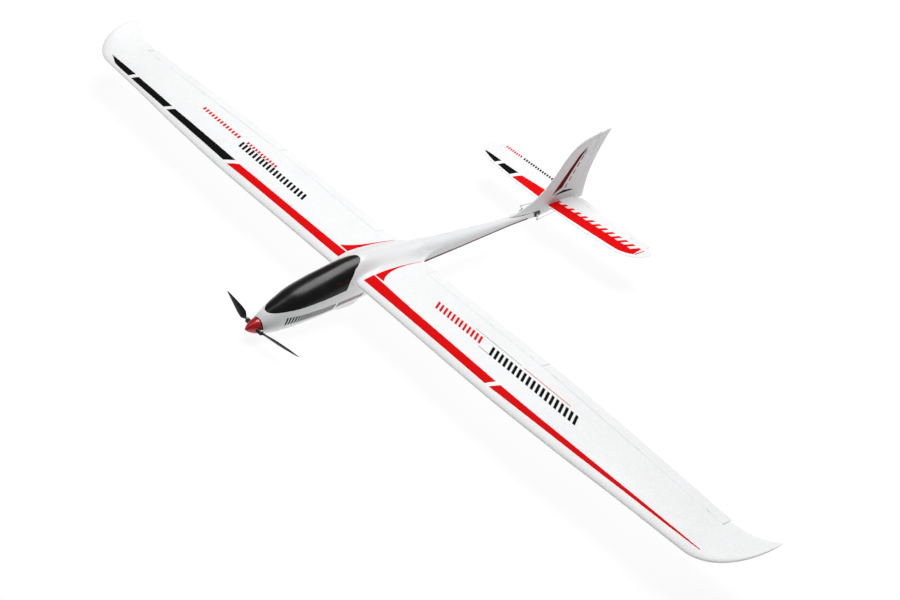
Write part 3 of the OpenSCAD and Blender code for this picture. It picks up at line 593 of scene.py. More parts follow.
def resample(points, n):
    """n + 1 points at even steps along a polyline."""
    points = [Vector(p) for p in points]
    lengths = [0]
    for a, b in zip(points, points[1:]):
        lengths.append(lengths[-1] + (b - a).length)
    found = []
    for goal in spread(0, lengths[-1], n):
        i = max(k for k in range(len(points) - 1) if lengths[k] <= goal + 1e-9)
        step = lengths[i + 1] - lengths[i]
        found.append(points[i].lerp(points[i + 1], (goal - lengths[i]) / step if step else 0))
    return found


def film(solid, skin, front, rear):
    """Adds a film between two edges to a solid. skin(a, b, lift) is a point on the surface."""
    span = max(sum((Vector(b) - Vector(a)).length for a, b in zip(e, e[1:])) for e in (front, rear))
    n = max(4, round(span / (3 * FILM_STEP)))
    first, last = resample(front, n), resample(rear, n)
    gap = max((b - a).length for a, b in zip(first, last))
    m = max(2, round(gap / FILM_STEP))
    grid = [[a.lerp(b, k / m) for k in range(m + 1)] for a, b in zip(first, last)]
    solid.slab([[skin(p.x, p.y, FILM_UP) for p in line] for line in grid],
               [[skin(p.x, p.y, -FILM_DOWN) for p in line] for line in grid])


def wing_film(side):
    return lambda x, s, lift: mirrored(side, (x, at(s), wing_skin(x, s, 1) + lift))


def put_films(name, side, skin_of, red=(), black=(), white=(), maroon=(), body=AIRFRAME):
    """Makes one piece per colour from lists of functions that add films to a solid."""
    colours = ((red, "red", RED, "red_gloss", 0), (black, "black", BLACK, "canopy_black", 0),
               (white, "white", WHITE_FILM, "white_foam", WHITE_LIFT),
               (maroon, "maroon", MAROON, "red_gloss", 0))
    under = skin_of(side)
    for adders, colour, finish, slot, extra in colours:
        if adders:
            solid = Solid()
            for add in adders:
                add(solid, lambda a, b, lift, extra=extra: under(a, b, lift + extra))
            finish_piece(make(name + "_" + colour, solid), finish, body, slot)


def patch(front, rear):
    return lambda solid, skin: film(solid, skin, front, rear)


def bar_row(start, end, depth, count, lean, fill):
    """A row of plain slanted bars where the real object carries lettering. start and end are
    the row's front line, depth is the bars' height and lean how far their tops shift along."""
    a, b = Vector(start), Vector(end)
    pitch = (b - a) / count
    across = Vector((-(b - a).y, (b - a).x)).normalized() * depth

    def add(solid, skin):
        for low in [a + pitch * k for k in range(count)]:
            high = low + across + pitch.normalized() * lean
            film(solid, skin, [low, low + pitch * fill], [high, high + pitch * fill])
    return add


WEDGE_INNER = [(53, 342), (51.5, 420), (51, 506)]
WEDGE_OUTER = [(84, 343), (74, 356), (65, 376), (58, 405), (54, 450), (51.8, 506)]
PORT_RED = [
    patch([(52, 307), (205, 306), (355, 304), (483, 302)],
          [(52, 339), (205, 332), (355, 329), (495, 326)]),
    patch([(496, 302), (605, 307), (755, 314), (905, 323), (1005, 328), (1055, 331), (1098, 333)],
          [(510, 326), (605, 326), (755, 329), (905, 333), (1005, 335), (1055, 336), (1099, 335)]),
    patch(WEDGE_INNER, WEDGE_OUTER),
    bar_row((222, 388), (384, 388), 29, 12, -15, fill=0.52),
    bar_row((495, 423), (648, 423), 2.2, 1, -2, fill=0.98),
]
PORT_BLACK = [
    bar_row((417, 379), (703, 379), 34, 19, -17, fill=0.55),
    bar_row((330, 425), (486, 425), 2.4, 26, -1.2, fill=0.5),
    bar_row((381, 379.5), (417, 379), 1.2, 1, 0, fill=0.99),
]
STARBOARD_RED = [
    patch([(50.5, 311), (120, 310), (270, 308), (420, 305), (502, 302)],
          [(53, 338), (120, 336), (270, 332), (420, 329), (481, 327)]),
    patch(WEDGE_INNER, WEDGE_OUTER),
    bar_row((428, 406), (560, 406), 13, 11, 6, fill=0.55),
    bar_row((583, 400), (752, 400), 16, 13, 7, fill=0.55),
]
STARBOARD_BLACK = [
    patch([(519, 304), (650, 306), (786, 309)], [(499, 329), (640, 329), (774, 329)]),
    patch([(801, 310), (880, 312), (964, 314)], [(789, 330), (870, 332), (955, 333)]),
    patch([(978, 315), (1020, 316), (1050, 318)], [(971, 334), (1030, 334), (1087, 333)]),
    bar_row((277, 376), (558, 376), 28, 19, 14, fill=0.55),
]
put_films("port_wing_marks", PORT, wing_film, PORT_RED, PORT_BLACK)
put_films("starboard_wing_marks", STARBOARD, wing_film, STARBOARD_RED, STARBOARD_BLACK)


# ---- Fuselage ----
# Rows of the pod and boom: station, centre height, half height, half width
POD = Curve([
    (37, 35, 20.5, 20.5), (42, 36.5, 24, 23), (50, 39, 28.5, 25.5), (60, 41, 32.5, 28.5),
    (75, 44.5, 38, 32.5), (100, 50.5, 44, 37.5), (125, 56.5, 49.5, 42), (150, 61, 52.5, 45),
    (175, 64.5, 55, 46.5), (200, 68, 57, 48), (240, 73, 60, 48), (290, 79, 63, 47),
    (330, 82.75, 63.25, 46), (380, 85, 56, 44), (440, 86.5, 45.5, 40), (500, 90, 38, 36.5),
    (556, 94, 33, 32.5), (605, 91.5, 28.7, 28.7), (655, 91, 26, 26), (705, 90.5, 23, 23),
    (755, 89.5, 20, 20), (805, 89, 17.2, 17.2), (855, 89, 14.8, 14.8), (905, 89.5, 13, 13),
    (945, 90, 12, 13), (1000, 90, 12, 13), (1060, 91.5, 10.5, 10), (1110, 93.5, 8.5, 7),
    (1158, 96, 6.5, 4.5)])
WALL, CANOPY_GAP = 1.6, 0.4
CANOPY_LINE = [(16, 66.2), (263, 94), (276, 113), (298, 132.5), (331, 147.5), (343, 165)]
SEAT_X = 49.8
SEAT_FRONT, SEAT_REAR = 289, 516
FLARE_FRONT, FLARE_REAR = 279, 600
FADE_FRONT, FADE_REAR = 40, 60
SEAT_DROP = 1.8          # the seat stays this far under the canopy's edge


def pod_point(s, angle, inset=0.0):
    """A point on the pod's half section: angle 0 is the top and 180 the bottom."""
    centre, tall, wide = POD(s)
    a = math.radians(angle)
    return Vector(((wide - inset) * math.sin(a), centre + (tall - inset) * math.cos(a)))


def pod_angle(s, h):
    """The angle at which the pod's skin is at height h."""
    centre, tall, _ = POD(s)
    return math.degrees(math.acos(min(1, max(-1, (h - centre) / tall))))


def canopy_angle(s, drop=0.0):
    """The angle of the canopy's edge, or 0 where there is no canopy."""
    return pod_angle(s, straight(s, CANOPY_LINE) - drop)


def crossing(low, high):
    """The station between two others at which the canopy's edge meets the pod's top."""
    sign = canopy_angle(low) > 0
    for _ in range(40):
        middle = (low + high) / 2
        if (canopy_angle(middle) > 0) == sign:
            low = middle
        else:
            high = middle
    return (low + high) / 2


CANOPY_NOSE, CANOPY_TAIL = crossing(50, 100), crossing(300, 345)


def bezier(a, b, c, d, n):
    """n points inside a cubic curve, without its ends."""
    found = []
    for t in spread(0, 1, n + 1)[1:-1]:
        u = 1 - t
        found.append(u ** 3 * a + 3 * u * u * t * b + 3 * u * t * t * c + t ** 3 * d)
    return found


CROWN_STEPS, FILLET_STEPS, FACE_STEPS, UNDER_STEPS, BELLY_STEPS = 10, 9, 2, 9, 18
RING_STEPS = CROWN_STEPS + FILLET_STEPS + FACE_STEPS + UNDER_STEPS + BELLY_STEPS + 2


def seat_edges(s):
    """The wing seat at a station: its X, upper and lower height and how far it stands out."""
    if s < SEAT_FRONT:
        out = ((s - FLARE_FRONT) / (SEAT_FRONT - FLARE_FRONT)) ** 2.4
        half = 0.05 + 0.5 * (1 - out)
        under_canopy = straight(s, CANOPY_LINE) - SEAT_DROP - half
        middle = min(wing_skin(ROOT_X, SEAT_FRONT, 1), under_canopy)
    elif s > SEAT_REAR:
        out = ((FLARE_REAR - s) / (FLARE_REAR - SEAT_REAR)) ** 2.6
        middle, half = wing_skin(ROOT_X, SEAT_REAR, 1) - 0.8, 0.8 + 0.6 * (1 - out)
    else:
        up, low = wing_skin(ROOT_X, s, 1), wing_skin(ROOT_X, s, -1)
        out, middle, half = 1, (up + low) / 2, max(0.05, (up - low) / 2)
    beside = pod_point(s, pod_angle(s, middle)).x
    return mix(beside, SEAT_X, out), middle + half, middle - half, out


def tangent(s, angle):
    """Direction along the pod's section, outwards and down."""
    return (pod_point(s, angle + 0.5) - pod_point(s, angle - 0.5)).normalized()


def seat_section(s, start):
    """The half section through the wing seat, from angle start at the top to the bottom."""
    x, up, low, out = seat_edges(s)
    up_angle, low_angle = pod_angle(s, up), pod_angle(s, low)
    top_angle = max(start + 1.5, min(up_angle - 4, mix(up_angle - 8, 17, out)))
    under_angle = mix(low_angle + 8, 92, out)
    crown, under = pod_point(s, top_angle), pod_point(s, under_angle)
    high_edge, low_edge = Vector((x, up)), Vector((x, low))
    flat = Vector((1, 0))
    lead_in = tangent(s, up_angle).lerp(flat, out).normalized()
    lead_out = tangent(s, low_angle).lerp(-flat, out).normalized()
    reach, drop = (high_edge - crown).length * 0.4, (under - low_edge).length * 0.4
    points = [pod_point(s, a) for a in spread(start, top_angle, CROWN_STEPS)]
    points += bezier(crown, crown + reach * tangent(s, top_angle), high_edge - reach * lead_in,
                     high_edge, FILLET_STEPS)
    points += [high_edge.lerp(low_edge, t) for t in spread(0, 1, FACE_STEPS)]
    points += bezier(low_edge, low_edge + drop * lead_out, under - drop * tangent(s, under_angle),
                     under, UNDER_STEPS)
    return points + [pod_point(s, a) for a in spread(under_angle, 180, BELLY_STEPS)]


def pod_section(s, start):
    """The half section at a station: even along most of the pod, gathered at the wing seat."""
    near = min(s - (FLARE_FRONT - FADE_FRONT), (FLARE_REAR + FADE_REAR) - s)
    if FLARE_FRONT <= s <= FLARE_REAR:
        return seat_section(s, start)
    evened = spread(start, 180, RING_STEPS)
    if near <= 0:
        return [pod_point(s, a) for a in evened]
    seat_s = FLARE_FRONT if s < SEAT_FRONT else FLARE_REAR
    seat_start = canopy_angle(seat_s, CANOPY_GAP)
    there = seat_section(seat_s, seat_start)
    centre, tall, wide = POD(seat_s)
    angles = [math.degrees(math.atan2(p.x / wide, (p.y - centre) / tall)) for p in there]
    t = ease(near / FADE_FRONT)
    shifted = [start + (a - seat_start) * (180 - start) / (180 - seat_start) for a in angles]
    return [pod_point(s, mix(a, b, t)) for a, b in zip(evened, shifted)]


def pod_stations():
    nose = [37, 37.6, 38.6, 40, 42, 44.5, 47.5, 50.5, 53, CANOPY_NOSE]
    run = [CANOPY_NOSE + d for d in (0.4, 1.2, 2.6, 4.6, 7.5, 11.5, 17)]
    bay = spread(CANOPY_NOSE + 24, 256, 26) + [260, 263, 266, 269, 272.5, 276, FLARE_FRONT]
    seat = [280.5, 282, 283.6, 285.2, 286.7, 288, 288.7, SEAT_FRONT, 289.3, 290, 291.4, 293.5,
            296.5, 300, 304, 309, 314, 319, 323]
    seat += [CANOPY_TAIL - d for d in (3, 1.5, 0.5, 0)]
    rear = spread(CANOPY_TAIL + 3, SEAT_REAR, 24) + spread(SEAT_REAR + 3, FLARE_REAR, 16)
    boom = spread(FLARE_REAR + 8, 1158, 48)
    return nose + run + bay + seat + rear + boom


def fuselage_pod():
    """The moulded pod and boom: one wall, open for the canopy and at the spinner."""
    solid = Solid()
    rows = {PORT: [], STARBOARD: []}
    for s in pod_stations():
        start = canopy_angle(s, CANOPY_GAP) if CANOPY_NOSE < s < CANOPY_TAIL else 0
        section = pod_section(s, start)
        for side in rows:
            rows[side].append(solid.row([(side * p.x, at(s), p.y) for p in section]))
    for side_rows in rows.values():
        solid.band(side_rows)
    solid.fill(rows[PORT][-1] + rows[STARBOARD][-1][::-1])
    piece = make("fuselage_pod", solid)
    wall = piece.modifiers.new("wall", "SOLIDIFY")
    wall.thickness = WALL * MM
    wall.offset = -1
    applied(piece)
    finish_piece(piece, SHELL, AIRFRAME, "fuselage_plastic", ["fuselage_shell"])


def canopy_cover():
    """The canopy: a thin shell whose edge sits in the fuselage's opening."""
    solid = Solid()
    stations = [CANOPY_NOSE + d for d in (0.05, 0.4, 1.2, 2.6, 4.6, 7.5, 11.5, 17)]
    stations += spread(CANOPY_NOSE + 24, 256, 26) + [260, 262, 264, 267]
    stations += spread(270, 300, 12) + spread(302, CANOPY_TAIL - 6, 8)
    stations += [CANOPY_TAIL - d for d in (4.5, 3, 1.8, 0.9, 0.3, 0.05)]
    over, under = [], []
    for s in stations:
        edge = max(0.25, canopy_angle(s))
        for rows, inset, narrow in ((over, 0, 1), (under, min(WALL, POD(s)[1] * 0.2), 0.985)):
            points = [pod_point(s, edge * math.sin(a), inset) for a in arc(-90, 90, 36)]
            rows.append([(p.x * narrow, at(s), p.y) for p in points])
    solid.slab(over, under)
    piece = make("canopy_cover", solid)
    soften(piece, 0.45, 50, 3)
    finish_piece(piece, CANOPY, "canopy", "canopy_black", ["canopy"])


fuselage_pod()
canopy_cover()

# ---- Belly skid ----
SKID = Curve([(246, 16, 11), (256, 8, 19), (272, 2.6, 25), (290, 0, 28), (315, 0, 28),
              (332, 2.6, 25), (346, 9, 19), (356, 17, 11)])
SKID_TOP = 36


def belly_skid():
    """The moulded skid under the belly that the glider rests on."""
    solid = Solid()
    rings = []
    for s in spread(246, 356, 40):
        low, wide = SKID(s)
        rings.append([(wide * math.sin(a), at(s), SKID_TOP + (SKID_TOP - low) * math.cos(a))
                      for a in arc(90, 270, 24)])
    solid.loft(rings)
    piece = make("belly_skid_shoe", solid)
    finish_piece(piece, SHELL, AIRFRAME, "fuselage_plastic", ["belly_skid"])


belly_skid()

# ---- Fin and rudder ----
# Rows: height, leading edge station, trailing edge station, thickness
FIN = Curve([
    (94, 1080, 1202, 7), (98, 990, 1201, 9), (104, 888, 1200.5, 11), (110, 914, 1200, 11),
    (118, 942, 1199, 11), (128, 967, 1198, 11), (139, 988, 1197, 10.5), (150, 1003, 1196.5, 10),
    (165, 1018, 1196, 9.5), (182, 1030, 1196.5, 9), (205, 1046, 1200, 8.5), (244, 1068, 1210, 8),
    (277, 1096, 1221, 7), (296, 1130, 1229, 6.5), (304, 1162, 1233, 5.5), (309, 1194, 1235, 4.2),
    (312, 1219, 1234, 3)])
FIN_TOP = 311.8
RUDDER_FOOT, RUDDER_HEAD = (1162, 90), (1187, 308)
RUDDER_R = 2.2
FIN_CUT = RUDDER_R + 0.5


def rudder_s(h):
    """Station of the rudder's hinge line at a height."""
    share = (h - RUDDER_FOOT[1]) / (RUDDER_HEAD[1] - RUDDER_FOOT[1])
    return mix(RUDDER_FOOT[0], RUDDER_HEAD[0], share)


def fin_half(h, s):
    """Half thickness of the fin, flared where it grows out of the boom."""
    front, rear, thick = FIN(h)
    f = min(1, max(0, (s - front) / (rear - front)))
    flare = 1 + 1.1 * max(0, (114 - h) / 16) ** 2
    return flare * (rear - front) * half_thick(f, thick / (rear - front), 0.6 / (rear - front))


def fin_ring(h, first, last, n, power):
    """A level ring through the fin from one station to another and back."""
    places = [mix(first, last, t ** power) for t in spread(0, 1, n)]
    port = [(fin_half(h, s), at(s), h) for s in places]
    return port + [(-x, y, z) for x, y, z in port[::-1]]


def fin():
    solid = Solid()
    heights = [97, 99, 101, 103, 104, 105.5, 107, 109, 112, 115, 119, 124] + spread(130, 296, 30)
    heights += [299, 302, 304.5, 306.2]
    solid.loft([fin_ring(h, FIN(h)[0], rudder_s(h) - FIN_CUT, 30, 2) for h in heights])
    finish_piece(make("fin_moulding", solid), SHELL, AIRFRAME, "fuselage_plastic")


def rudder():
    """The rudder, with a rounded nose on its tilted hinge line."""
    solid = Solid()
    rings = []
    for h in spread(94, 308, 40) + [309.5, 310.7, FIN_TOP]:
        first = max(rudder_s(h), FIN(h)[0] + 0.4)
        round_r = min(RUDDER_R, fin_half(h, first) * 0.98)
        nose = [(round_r * math.sin(a), at(first - round_r * math.cos(a)), h)
                for a in arc(-90, 90, 8)]
        rings.append(fin_ring(h, first, FIN(h)[1], 12, 1) + nose)
    solid.loft(rings)
    finish_piece(make("rudder_panel", solid), SHELL, "rudder", "white_foam", ["rudder"])


fin()
rudder()

# ---- Stabilizer and elevators ----
STAB_H, STAB_HALF, STAB_ROUND = WING_H, 312, 225
ELEVATOR_S, ELEVATOR_R, ELEVATOR_IN, ELEVATOR_OUT = 1153, 1.7, 14, 286
ELEVATOR_END = 287
STAB_CUT = ELEVATOR_S - ELEVATOR_R - NOSE_GAP
STAB_LEADING = Curve([(2, 1038), (110, 1040), (225, 1051)])
STAB_TRAILING = [(2, 1175), (287, 1172), (289, 1161), (312, 1146)]
ELEVATOR_HINGES = (60, 230)
HORN_LEAN = 4.6          # how far the balance tab's edge leans inwards
BAY_STEPS = 3            # steps along the chord behind the elevator cut


def stab_le(x):
    if x <= STAB_ROUND:
        return STAB_LEADING(x)
    across = min(1, (x - STAB_ROUND) / (STAB_HALF - STAB_ROUND))
    return 1141 - 90 * math.sqrt(1 - across ** 2)


def stab_half_thick(x, s):
    first, last = stab_le(x), straight(x, STAB_TRAILING)
    f = min(1, max(0, (s - first) / (last - first)))
    return (last - first) * half_thick(f, 0.06, 0.5 / (last - first))


def stabilizer(side, label):
    """The fixed half of the tail plane, with the elevator's bay open."""
    solid = Solid()
    xs = [2] + spread(12, STAB_ROUND, 14)
    xs += [STAB_ROUND + (STAB_HALF - STAB_ROUND) * math.sin(math.radians(a))
           for a in (9, 17, 24, 30, 36, 41)]
    xs += [ELEVATOR_END, 289, 292, 295.5, 299, 302.5, 305.5, 308, 310, 311.2, 311.85]
    sections = []
    for x in xs:
        end = straight(x, STAB_TRAILING)
        cut = min(STAB_CUT, mix(stab_le(x), end, 0.86))
        lean = HORN_LEAN * (1 - ease((x - ELEVATOR_END) / 12)) if x >= ELEVATOR_END else 0
        places = [(s, lean * (s - cut) / max(1, end - cut)) for s in spread(end, cut, BAY_STEPS)]
        places += [(mix(stab_le(x), cut, (1 - k / 22) ** 2.2), 0) for k in range(1, 23)]
        sections.append([[(x - d, at(s), STAB_H + way * stab_half_thick(x, s))
                          for s, d in places] for way in (1, -1)])
    tops, lows = skin_with_bay(solid, side, sections, BAY_STEPS,
                               lambda i: xs[i + 1] <= ELEVATOR_END)
    i = xs.index(ELEVATOR_END)
    solid.strip(tops[i][:BAY_STEPS + 1], lows[i][:BAY_STEPS + 1])
    solid.strip(tops[0][BAY_STEPS:], lows[0][BAY_STEPS:])
    solid.strip(tops[-1], lows[-1])
    piece = make("stabilizer_panel_" + label, solid)
    finish_piece(piece, FOAM, AIRFRAME, "white_foam", ["stabilizer_" + label])


def elevator(side, label):
    solid = Solid()
    rings = []
    for t in spread(0, 1, 16):
        x0 = mix(ELEVATOR_IN, ELEVATOR_OUT, t)
        x1 = mix(ELEVATOR_IN + 10, ELEVATOR_OUT - HORN_LEAN, t)
        end = straight(x1, STAB_TRAILING)
        places = spread(ELEVATOR_S, end, 6)
        over = [(mix(x0, x1, k / 6), at(s), STAB_H + stab_half_thick(mix(x0, x1, k / 6), s))
                for k, s in enumerate(places)]
        under = [(x, y, 2 * STAB_H - z) for x, y, z in over[::-1]]
        nose = [(x0, at(ELEVATOR_S - ELEVATOR_R * math.sin(a)), STAB_H + ELEVATOR_R * math.cos(a))
                for a in arc(180, 0, 8)]
        rings.append([mirrored(side, v) for v in over + under + nose])
    solid.loft(rings)
    piece = make("elevator_panel_" + label, solid)
    cutter = Solid()
    reach = ELEVATOR_R + NOTCH_OVER
    for x in ELEVATOR_HINGES:
        cutter.block((x - NOTCH_HALF, at(ELEVATOR_S) - reach, STAB_H - reach),
                     (x + NOTCH_HALF, at(ELEVATOR_S) + NOTCH_AFT, STAB_H + reach),
                     side_matrix(side))
    carve(piece, cutter)
    finish_piece(piece, FOAM, "elevator", "white_foam", ["elevator_" + label])


for way, label in SIDES:
    stabilizer(way, label)
    elevator(way, label)


def tail_film(side):
    return lambda x, s, lift: mirrored(
        side, (x, at(s), STAB_H + stab_half_thick(x, s) + lift))


def fin_film(side):
    return lambda s, h, lift: Vector((side * (fin_half(h, s) + lift), at(s), h))


def pod_film(side):
    def skin(s, h, lift):
        p = pod_point(s, pod_angle(s, h), -lift)
        return Vector((side * p.x, at(s), p.y))
    return skin


# The port tail mark's front edge: X and how far behind the leading edge
TAIL_RED_FRONT = ((6, 4), (60, 7), (119, 10), (175, 11), (224, 11), (245, 11), (262, 11.5),
                  (275, 13), (284, 15), (291, 17))
put_films("port_tail_marks", PORT, tail_film,
          red=[patch([(x, stab_le(x) + d) for x, d in TAIL_RED_FRONT],
                     [(6, 1090), (100, 1106), (190, 1122), (262, 1134), (291, 1138)])],
          white=[bar_row((14, 1079), (276, 1106), 30, 12, 12, fill=0.52)])
put_films("starboard_tail_marks", STARBOARD, tail_film,
          red=[patch([(36, 1047), (145, 1049)], [(52, 1092), (136, 1081)])],
          black=[patch([(158, 1052), (211, 1057)], [(151, 1082), (207, 1080)]),
                 patch([(226, 1058), (260, 1066.5), (284, 1077)],
                       [(220, 1081), (260, 1081), (282, 1081)])])
put_films("starboard_elevator_marks", STARBOARD, tail_film,
          red=[bar_row((210, 1155.5), (276, 1155.5), 13, 8, 5, fill=0.6)],
          black=[bar_row((64, 1155.5), (204, 1155.5), 13, 15, 5, fill=0.6)], body="elevator")
for way, label in SIDES:
    put_films("fin_marks_" + label, way, fin_film,
              maroon=[patch([(1048, 137), (1087, 200), (1119, 252), (1144, 273)],
                            [(1085, 155), (1106, 200), (1130, 245), (1145, 272)])],
              black=[patch([(1059, 133), (1095, 134), (1143, 133)],
                           [(1062, 135), (1092, 143), (1128, 138)]),
                     *[patch([(a, b), (a + 6, b + 14)], [(a + 4.5, b), (a + 9.5, b + 13)])
                       for a, b in ((1096, 150), (1105, 171), (1114, 192), (1123, 213),
                                    (1131, 233), (1138, 250))]])
put_films("port_side_marks", PORT, pod_film,
          maroon=[bar_row((240, 50), (326, 52), 14, 11, 5, fill=0.55),
                  patch([(540, 89), (640, 87), (760, 87.5), (842, 88), (957, 91)],
                        [(540, 82), (640, 81), (760, 82.5), (842, 83.5), (957, 87)])],
          black=[bar_row((88, 41), (232, 46), 19, 18, 6, fill=0.55)])
put_films("canopy_marks", PORT, pod_film,
          maroon=[bar_row((236, 112.5), (254, 112.5), 1.3, 3, 0.4, fill=0.7),
                  bar_row((262, 115.5), (272, 115.5), 1.6, 2, 0.5, fill=0.7)], body="canopy")

# ---- Propeller ----
AXIS = Vector((0, at(0), 35))
SPINNER_R, SPINNER_L, SPINNER_WALL = 20, 33, 1.4
SLOT_S, SLOT_R, SLOT_END = 25.1, 5.6, 40
PIN_R, PIN_S, BLADE_REST = 27, 27, 12.5


def spinner():
    """The spinner: a hollow cone with bulging sides and a rounded slot for each blade."""
    def profile(inset, n):
        shares = [math.sin(a) for a in arc(0, 90, n)]
        return [(SPINNER_L - (SPINNER_L - inset) * t,
                 (SPINNER_R - inset) * (1 - t) ** 0.72 * (1 + 0.25 * t)) for t in shares[:-1]]
    outer = profile(0, 40) + [(0.05, 1.6)]
    inner = profile(SPINNER_WALL, 30) + [(8, 1.6)]
    solid = Solid()
    aft = Matrix.Translation(AXIS) @ Matrix.Rotation(-math.pi / 2, 4, "X")
    solid.lathe(outer + inner[::-1], aft, 96)
    piece = make("spinner_cone", solid)
    slot = Solid()
    rows = []
    for x in (-30, 30):
        bend = [(SLOT_S + SLOT_R * math.cos(a), SLOT_R * math.sin(a)) for a in arc(90, 270, 12)]
        outline = [(SLOT_END, SLOT_R), *bend, (SLOT_END, -SLOT_R)]
        rows.append([AXIS + Vector((x, y, z)) for y, z in outline])
    slot.loft(rows)
    carve(piece, slot)
    soften(piece, 0.25, 40)
    finish_piece(piece, SPINNER_RED, "propeller", "red_gloss", ["spinner"])


# Blade rows: distance from the pin, width, thickness, twist
BLADE_ROWS = Curve([(3, 5.5, 4.2, 0), (8, 7, 4.4, 8), (14, 13, 4, 32), (24, 20, 3.2, 34),
                    (40, 20, 2.6, 29), (60, 16.5, 2.2, 24), (78, 12.5, 1.8, 20), (94, 8.5, 1.4, 17),
                    (106, 5, 1.1, 15), (114, 1.8, 0.8, 14)])
BLADE_ROOT_R, BLADE_ROOT_H, ROOT_EDGE, PIN_HOLE_R = 4.2, 2.3, 0.4, 1.55


def blade(side, label):
    """One folding blade: a twisted, cambered loft that grows out of a round pinned root."""
    place = Matrix.Translation(AXIS)
    if side == STARBOARD:
        place = place @ Matrix.Rotation(math.pi, 4, "Y")
    place = place @ Matrix.Translation((PIN_R, PIN_S, 0))
    place = place @ Matrix.Rotation(math.radians(BLADE_REST), 4, "Z")
    solid = Solid()
    rings = []
    for x in spread(3.4, 14, 8) + spread(16, 106, 30) + [109, 111.5, 113.2, 113.9]:
        width, thick, twist = BLADE_ROWS(x)
        twist = math.radians(twist)
        ring = []
        for a in circle(28):
            u, v = width / 2 * math.cos(a), thick / 2 * math.sin(a)
            arch = 0.045 * width * (1 - (2 * u / width) ** 2) * ease((x - 10) / 20)
            v = v * (1 + 0.45 * u / width * ease((x - 10) / 20)) - arch
            z = u * math.cos(twist) + v * math.sin(twist)
            if x < 7:
                z = min(BLADE_ROOT_H, max(-BLADE_ROOT_H, z))
            ring.append(place @ Vector((x, v * math.cos(twist) - u * math.sin(twist), z)))
        rings.append(ring)
    solid.loft(rings)
    root = Solid()
    rim = BLADE_ROOT_R - ROOT_EDGE
    level = BLADE_ROOT_H - ROOT_EDGE
    root.lathe([(-BLADE_ROOT_H, rim), (-level, BLADE_ROOT_R), (level, BLADE_ROOT_R),
                (BLADE_ROOT_H, rim), (BLADE_ROOT_H, PIN_HOLE_R), (-BLADE_ROOT_H, PIN_HOLE_R)],
               place, 40)
    piece = make("blade_" + label + "_moulding", solid)
    carve(piece, root, "UNION")
    finish_piece(piece, BLADE, "blade_" + label, "carbon_black", ["blade_" + label])


spinner()
for way, label in SIDES:
    blade(way, label)


# ---- Small parts: the CAD shapes with softened edges ----
RECORD = frame["record"]
BODY_OF = {node: body for body, nodes in RECORD["behaviour"]["bodies"].items() for node in nodes}
SLOT_OF = {part["node"]: part["material_slot"] for part in RECORD["subparts"]}
FLAT_ANGLE = math.radians(1)


def softened(node, finish, width):
    """A copy of a CAD node's shape with rounded edges, which stands for that node."""
    work = bmesh.new()
    work.from_mesh(frame["nodes"][node].data)
    bmesh.ops.remove_doubles(work, verts=work.verts, dist=1e-6)
    bmesh.ops.dissolve_limit(work, angle_limit=FLAT_ANGLE, verts=work.verts, edges=work.edges)
    data = bpy.data.meshes.new(node + "_part")
    work.to_mesh(data)
    work.free()
    piece = placed(node + "_part", data)
    soften(piece, width, 32)
    finish_piece(piece, finish, BODY_OF[node], SLOT_OF[node], [node])


def recolour(node, finish):
    """Gives a CAD node that stays a better material."""
    mesh = frame["nodes"][node].data
    mesh.materials.clear()
    mesh.materials.append(finish)


SOFTENED = [("propeller_hub", BLADE, 0.4), ("motor_bell", ALUMINIUM, 0.4),
            ("motor_firewall", ALUMINIUM, 0.3), ("battery_pack", BATTERY, 1.6),
            ("speed_controller", CONTROLLER, 1.0), ("receiver", RECEIVER, 0.8),
            ("equipment_tray", PLYWOOD, 0.25), ("servo_covers", NYLON, 0.5),
            ("rudder_horn", NYLON, 0.25), ("rudder_arm", NYLON, 0.25),
            ("elevator_servo", SERVO, 0.4), ("rudder_servo", SERVO, 0.4),
            ("elevator_arm", NYLON, 0.25)]
for _, label in SIDES:
    for kind in SURFACES:
        SOFTENED += [(f"{kind}_servo_{label}", SERVO, 0.4), (f"{kind}_arm_{label}", NYLON, 0.25),
                     (f"{kind}_horn_{label}", NYLON, 0.25)]
        recolour(f"{kind}_rod_{label}", STEEL)
for node, finish, width in SOFTENED:
    softened(node, finish, width)
for finish, nodes in (
        (STEEL, ("motor_bearings", "motor_shaft", "m3_screws", "seat_magnets", "canopy_magnets",
                 "blade_pins", "elevator_joiner", "elevator_rod", "rudder_rod")),
        (CARBON, ("stabilizer_joiner", "wing_joiner")), (WIRE, ("wiring",)),
        (NYLON, ("surface_hinges",)), (COPPER, ("motor_stator",))):
    for node in nodes:
        recolour(node, finish)


STRAP_WIDE, STRAP_THICK, STRAP_GAP = 18, 0.9, 0.25


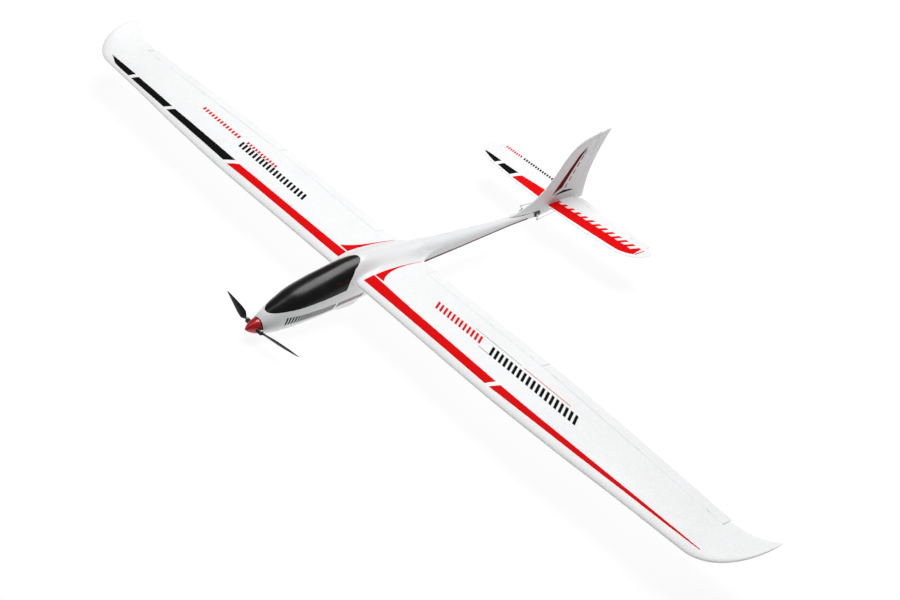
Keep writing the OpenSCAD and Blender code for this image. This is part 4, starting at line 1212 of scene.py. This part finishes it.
def battery_strap(share, name):
    """A woven strap over the battery, at a share of its length."""
    low, high = (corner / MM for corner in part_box("battery_pack"))
    middle = mix(low.y, high.y, share)
    rows = []
    for out in (STRAP_GAP + STRAP_THICK, STRAP_GAP):
        x, z, r = high.x + out, high.z + out, 2.4 + out
        corner = [(x - r + r * math.cos(a), z - r + r * math.sin(a)) for a in arc(0, 90, 6)]
        half = [(x, low.z + 1), *corner]
        line = half + [(-a, b) for a, b in half[::-1]]
        rows.append([[(a, middle + side * STRAP_WIDE / 2, b) for a, b in line]
                     for side in (-1, 1)])
    solid = Solid()
    solid.slab(*rows)
    finish_piece(make(name, solid), STRAP, AIRFRAME, "canopy_black")


battery_strap(0.25, "battery_strap_front")
battery_strap(0.72, "battery_strap_rear")


# ---- Floor and light ----
FLOOR_HALF, FLOOR_GLOW, ROOM_LIGHT = 60, 0.9, 0.13
# Each lamp: name, place, aim, size and power
LAMPS = (
    ("key", (-0.6, 1.6, 5.2), (0, 0, 0.1), (4.0, 4.0), 335),
    ("strip", (-0.6, -1.2, 1.8), (0, -0.4, 0.1), (0.5, 2.4), 6),
)


def make_stage():
    """A plain pale floor, a pale room and soft lamps."""
    floor_mesh = bpy.data.meshes.new("floor")
    corners = ((-1, -1), (1, -1), (1, 1), (-1, 1))
    floor_mesh.from_pydata([(FLOOR_HALF * x, FLOOR_HALF * y, 0) for x, y in corners], [],
                           [(0, 1, 2, 3)])
    floor = placed("floor", floor_mesh)
    pale = material("floor_paper", grey(0.11), grey(0.13), 0.9, 3, bump=0.02, height=0.0002,
                    shine=0)
    floor_mesh.materials.append(pale)
    shader = pale.node_tree.nodes["Principled BSDF"]
    shader.inputs["Emission Color"].default_value = (1, 1, 1, 1)
    shader.inputs["Emission Strength"].default_value = FLOOR_GLOW
    world = bpy.data.worlds.new("room")
    bpy.context.scene.world = world
    world.use_nodes = True
    background = world.node_tree.nodes["Background"]
    background.inputs["Color"].default_value = (1, 1, 1, 1)
    background.inputs["Strength"].default_value = ROOM_LIGHT
    for name, place, aim, size, power in LAMPS:
        data = bpy.data.lights.new(name, "AREA")
        data.shape = "RECTANGLE"
        data.size, data.size_y = size
        data.energy = power
        lamp = placed(name, data)
        lamp.location = place
        turn = (Vector(aim) - Vector(place)).to_track_quat("-Z", "Y")
        lamp.rotation_euler = turn.to_euler()


make_stage()
bpy.context.scene.view_settings.view_transform = "Standard"
